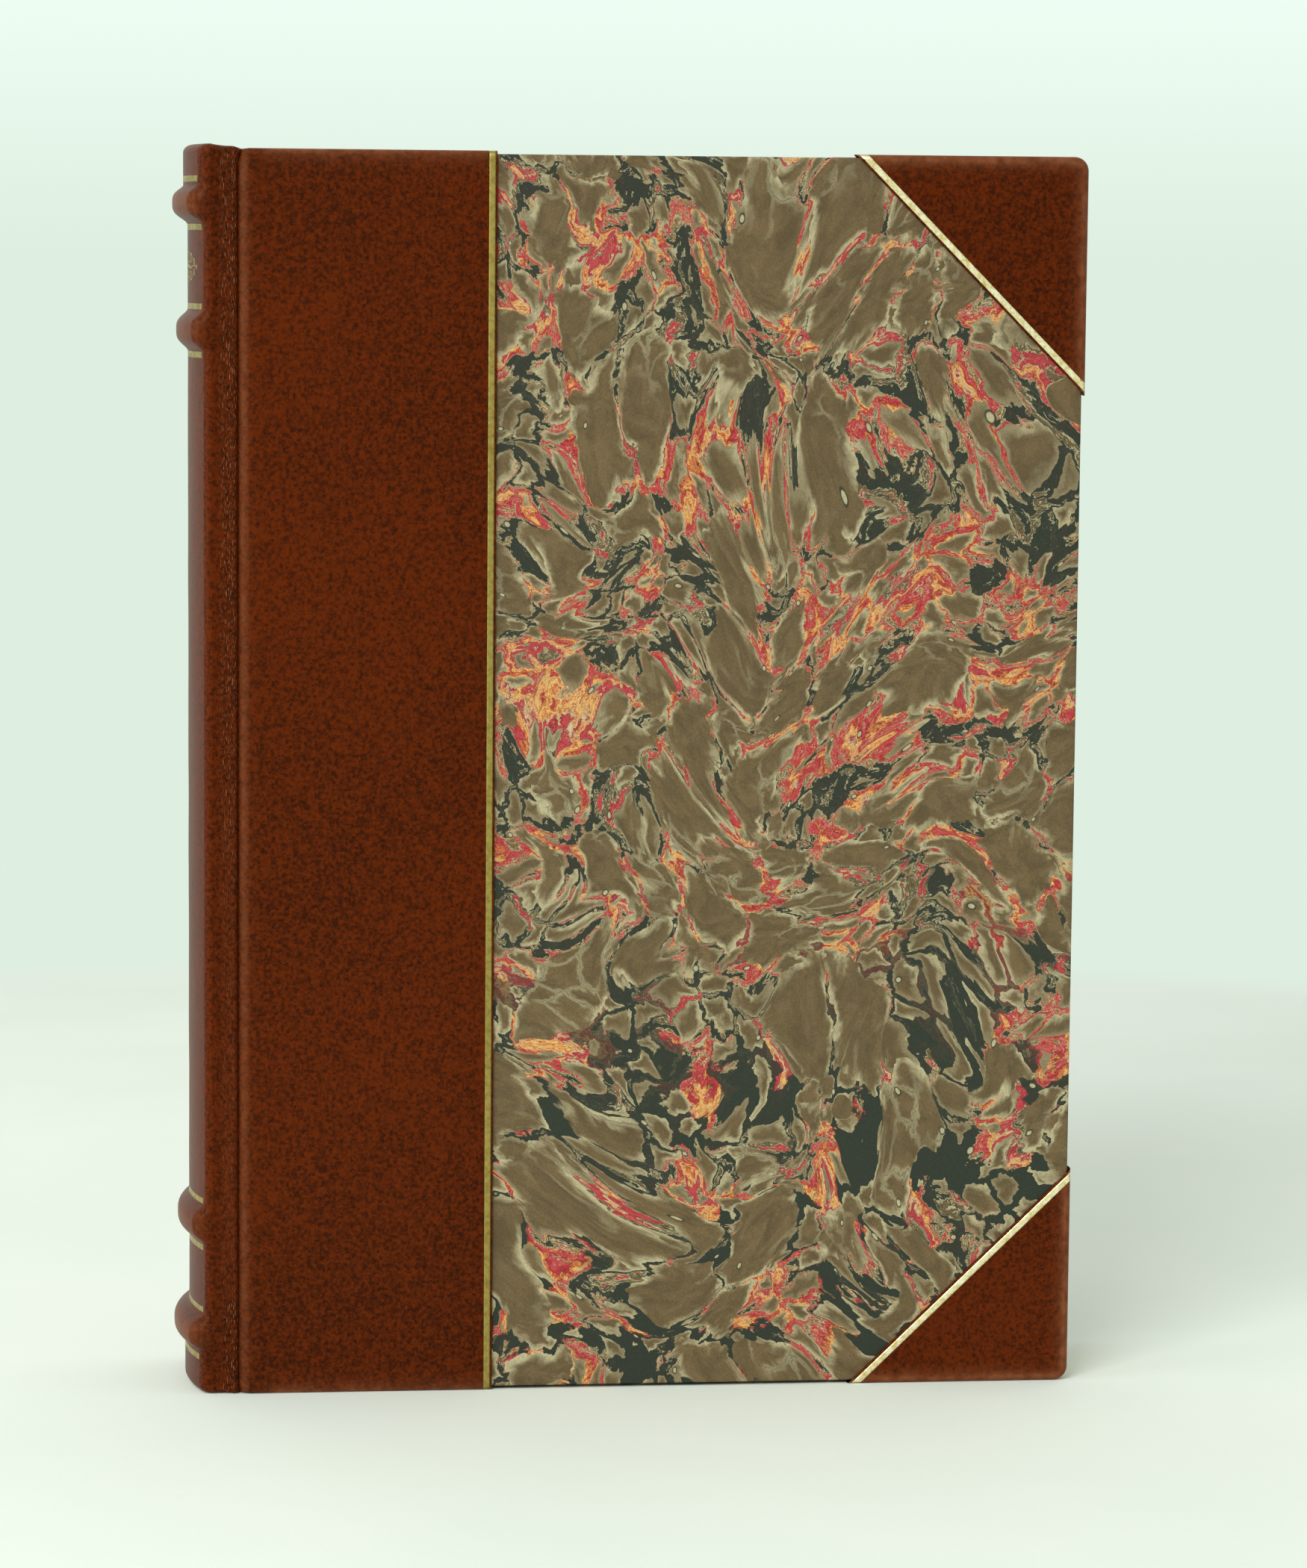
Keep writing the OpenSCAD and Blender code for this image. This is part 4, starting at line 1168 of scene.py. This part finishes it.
def makeWorld():
    world = bpy.data.worlds.new("studio")
    scene.world = world
    world.use_nodes = True
    tree = world.node_tree
    tree.nodes.clear()
    seen = backdropRays(tree)
    way = split(tree, put(tree, "TexCoord").outputs["Generated"])
    # The room is dim behind the camera and bright beside and behind the book
    around = spread(tree, way[1], -0.95, -0.1, studio["dim"], 1.0)
    fromPanels = calc(tree, "ABSOLUTE", calc(tree, "SUBTRACT", way[2], 0.1))
    panels = spread(tree, fromPanels, 0.15, 0.7, studio["panels"], 1.0)
    around = times(tree, around, panels)
    around = times(tree, around, studio["world"])
    light = put(tree, "Background", {"Color": studio["sky"], "Strength": around})
    tint = blendColor(tree, spread(tree, way[2], -0.01, 0.06), studio["low"], studio["wall"])
    wall = put(tree, "Background", {"Color": tint, "Strength": 1.0})
    mixed = put(tree, "MixShader", {0: seen, 1: light.outputs[0], 2: wall.outputs[0]})
    put(tree, "OutputWorld", {"Surface": mixed.outputs[0]})


warmWhite = (1.0, 0.97, 0.82)
lamps = {"keyLight": {"place": (-0.8, -1.4, 1.25), "target": (0.0, 0.0, 0.12), "size": (1.0, 0.8),
                      "watts": 22.6, "color": (1.0, 1.0, 1.0)},
         "spineLight": {"place": (-1.2, -0.1, 0.5), "target": (0.0, 0.0, 0.13), "size": (0.5, 0.9),
                        "watts": 1.5, "color": warmWhite},
         "sideLight": {"place": (-1.25, -0.55, 0.35), "target": (creaseX, -0.0175, 0.13), "size": (0.4, 0.9),
                       "watts": 3, "color": warmWhite}}


def makeLamp(name, place, target, size, watts, color):
    lamp = bpy.data.lights.new(name, "AREA")
    lamp.shape = "RECTANGLE"
    lamp.size, lamp.size_y = size
    lamp.energy = watts
    lamp.color = color
    light = bpy.data.objects.new(name, lamp)
    scene.collection.objects.link(light)
    aim(light, np.array(place), np.array(target) - np.array(place), np.array([0.0, 0.0, 1.0]))


def aim(thing, place, forward, up):
    # The thing looks along forward; its frame is made from that and the upward direction
    forward = forward / np.linalg.norm(forward)
    right = np.cross(forward, up)
    right = right / np.linalg.norm(right)
    upright = np.cross(right, forward)
    turned = np.column_stack([right, upright, -forward])
    thing.matrix_world = mathutils.Matrix.Translation(place) @ mathutils.Matrix(turned.tolist()).to_4x4()


view = {"yaw": 6.366, "pitch": 6.313, "roll": 0.505, "place": (-24.0, -949.4, 227.6), "focal": 6500,
        "frameHigh": 2100, "sensorHigh": 36.0}


def makeCamera():
    yaw, pitch, roll = (math.radians(view[key]) for key in ("yaw", "pitch", "roll"))
    forward = np.array([math.sin(yaw) * math.cos(pitch), math.cos(yaw) * math.cos(pitch), -math.sin(pitch)])
    right = np.array([math.cos(yaw), -math.sin(yaw), 0.0])
    upright = np.cross(right, forward)
    upright = math.cos(roll) * upright - math.sin(roll) * right
    lens = bpy.data.cameras.new("camera")
    lens.sensor_fit = "VERTICAL"
    lens.sensor_height = view["sensorHigh"]
    lens.lens = view["focal"] / view["frameHigh"] * view["sensorHigh"]
    camera = bpy.data.objects.new("camera", lens)
    scene.collection.objects.link(camera)
    place = np.array(view["place"]) * metre + np.array([creaseX, -book["halfThick"] * metre, 0.0])
    aim(camera, place, forward, upright)
    scene.camera = camera


makeFloor()
makeWorld()
for name, lamp in lamps.items():
    makeLamp(name, **lamp)
makeCamera()
scene.view_settings.view_transform = "Standard"

print("scene finished")
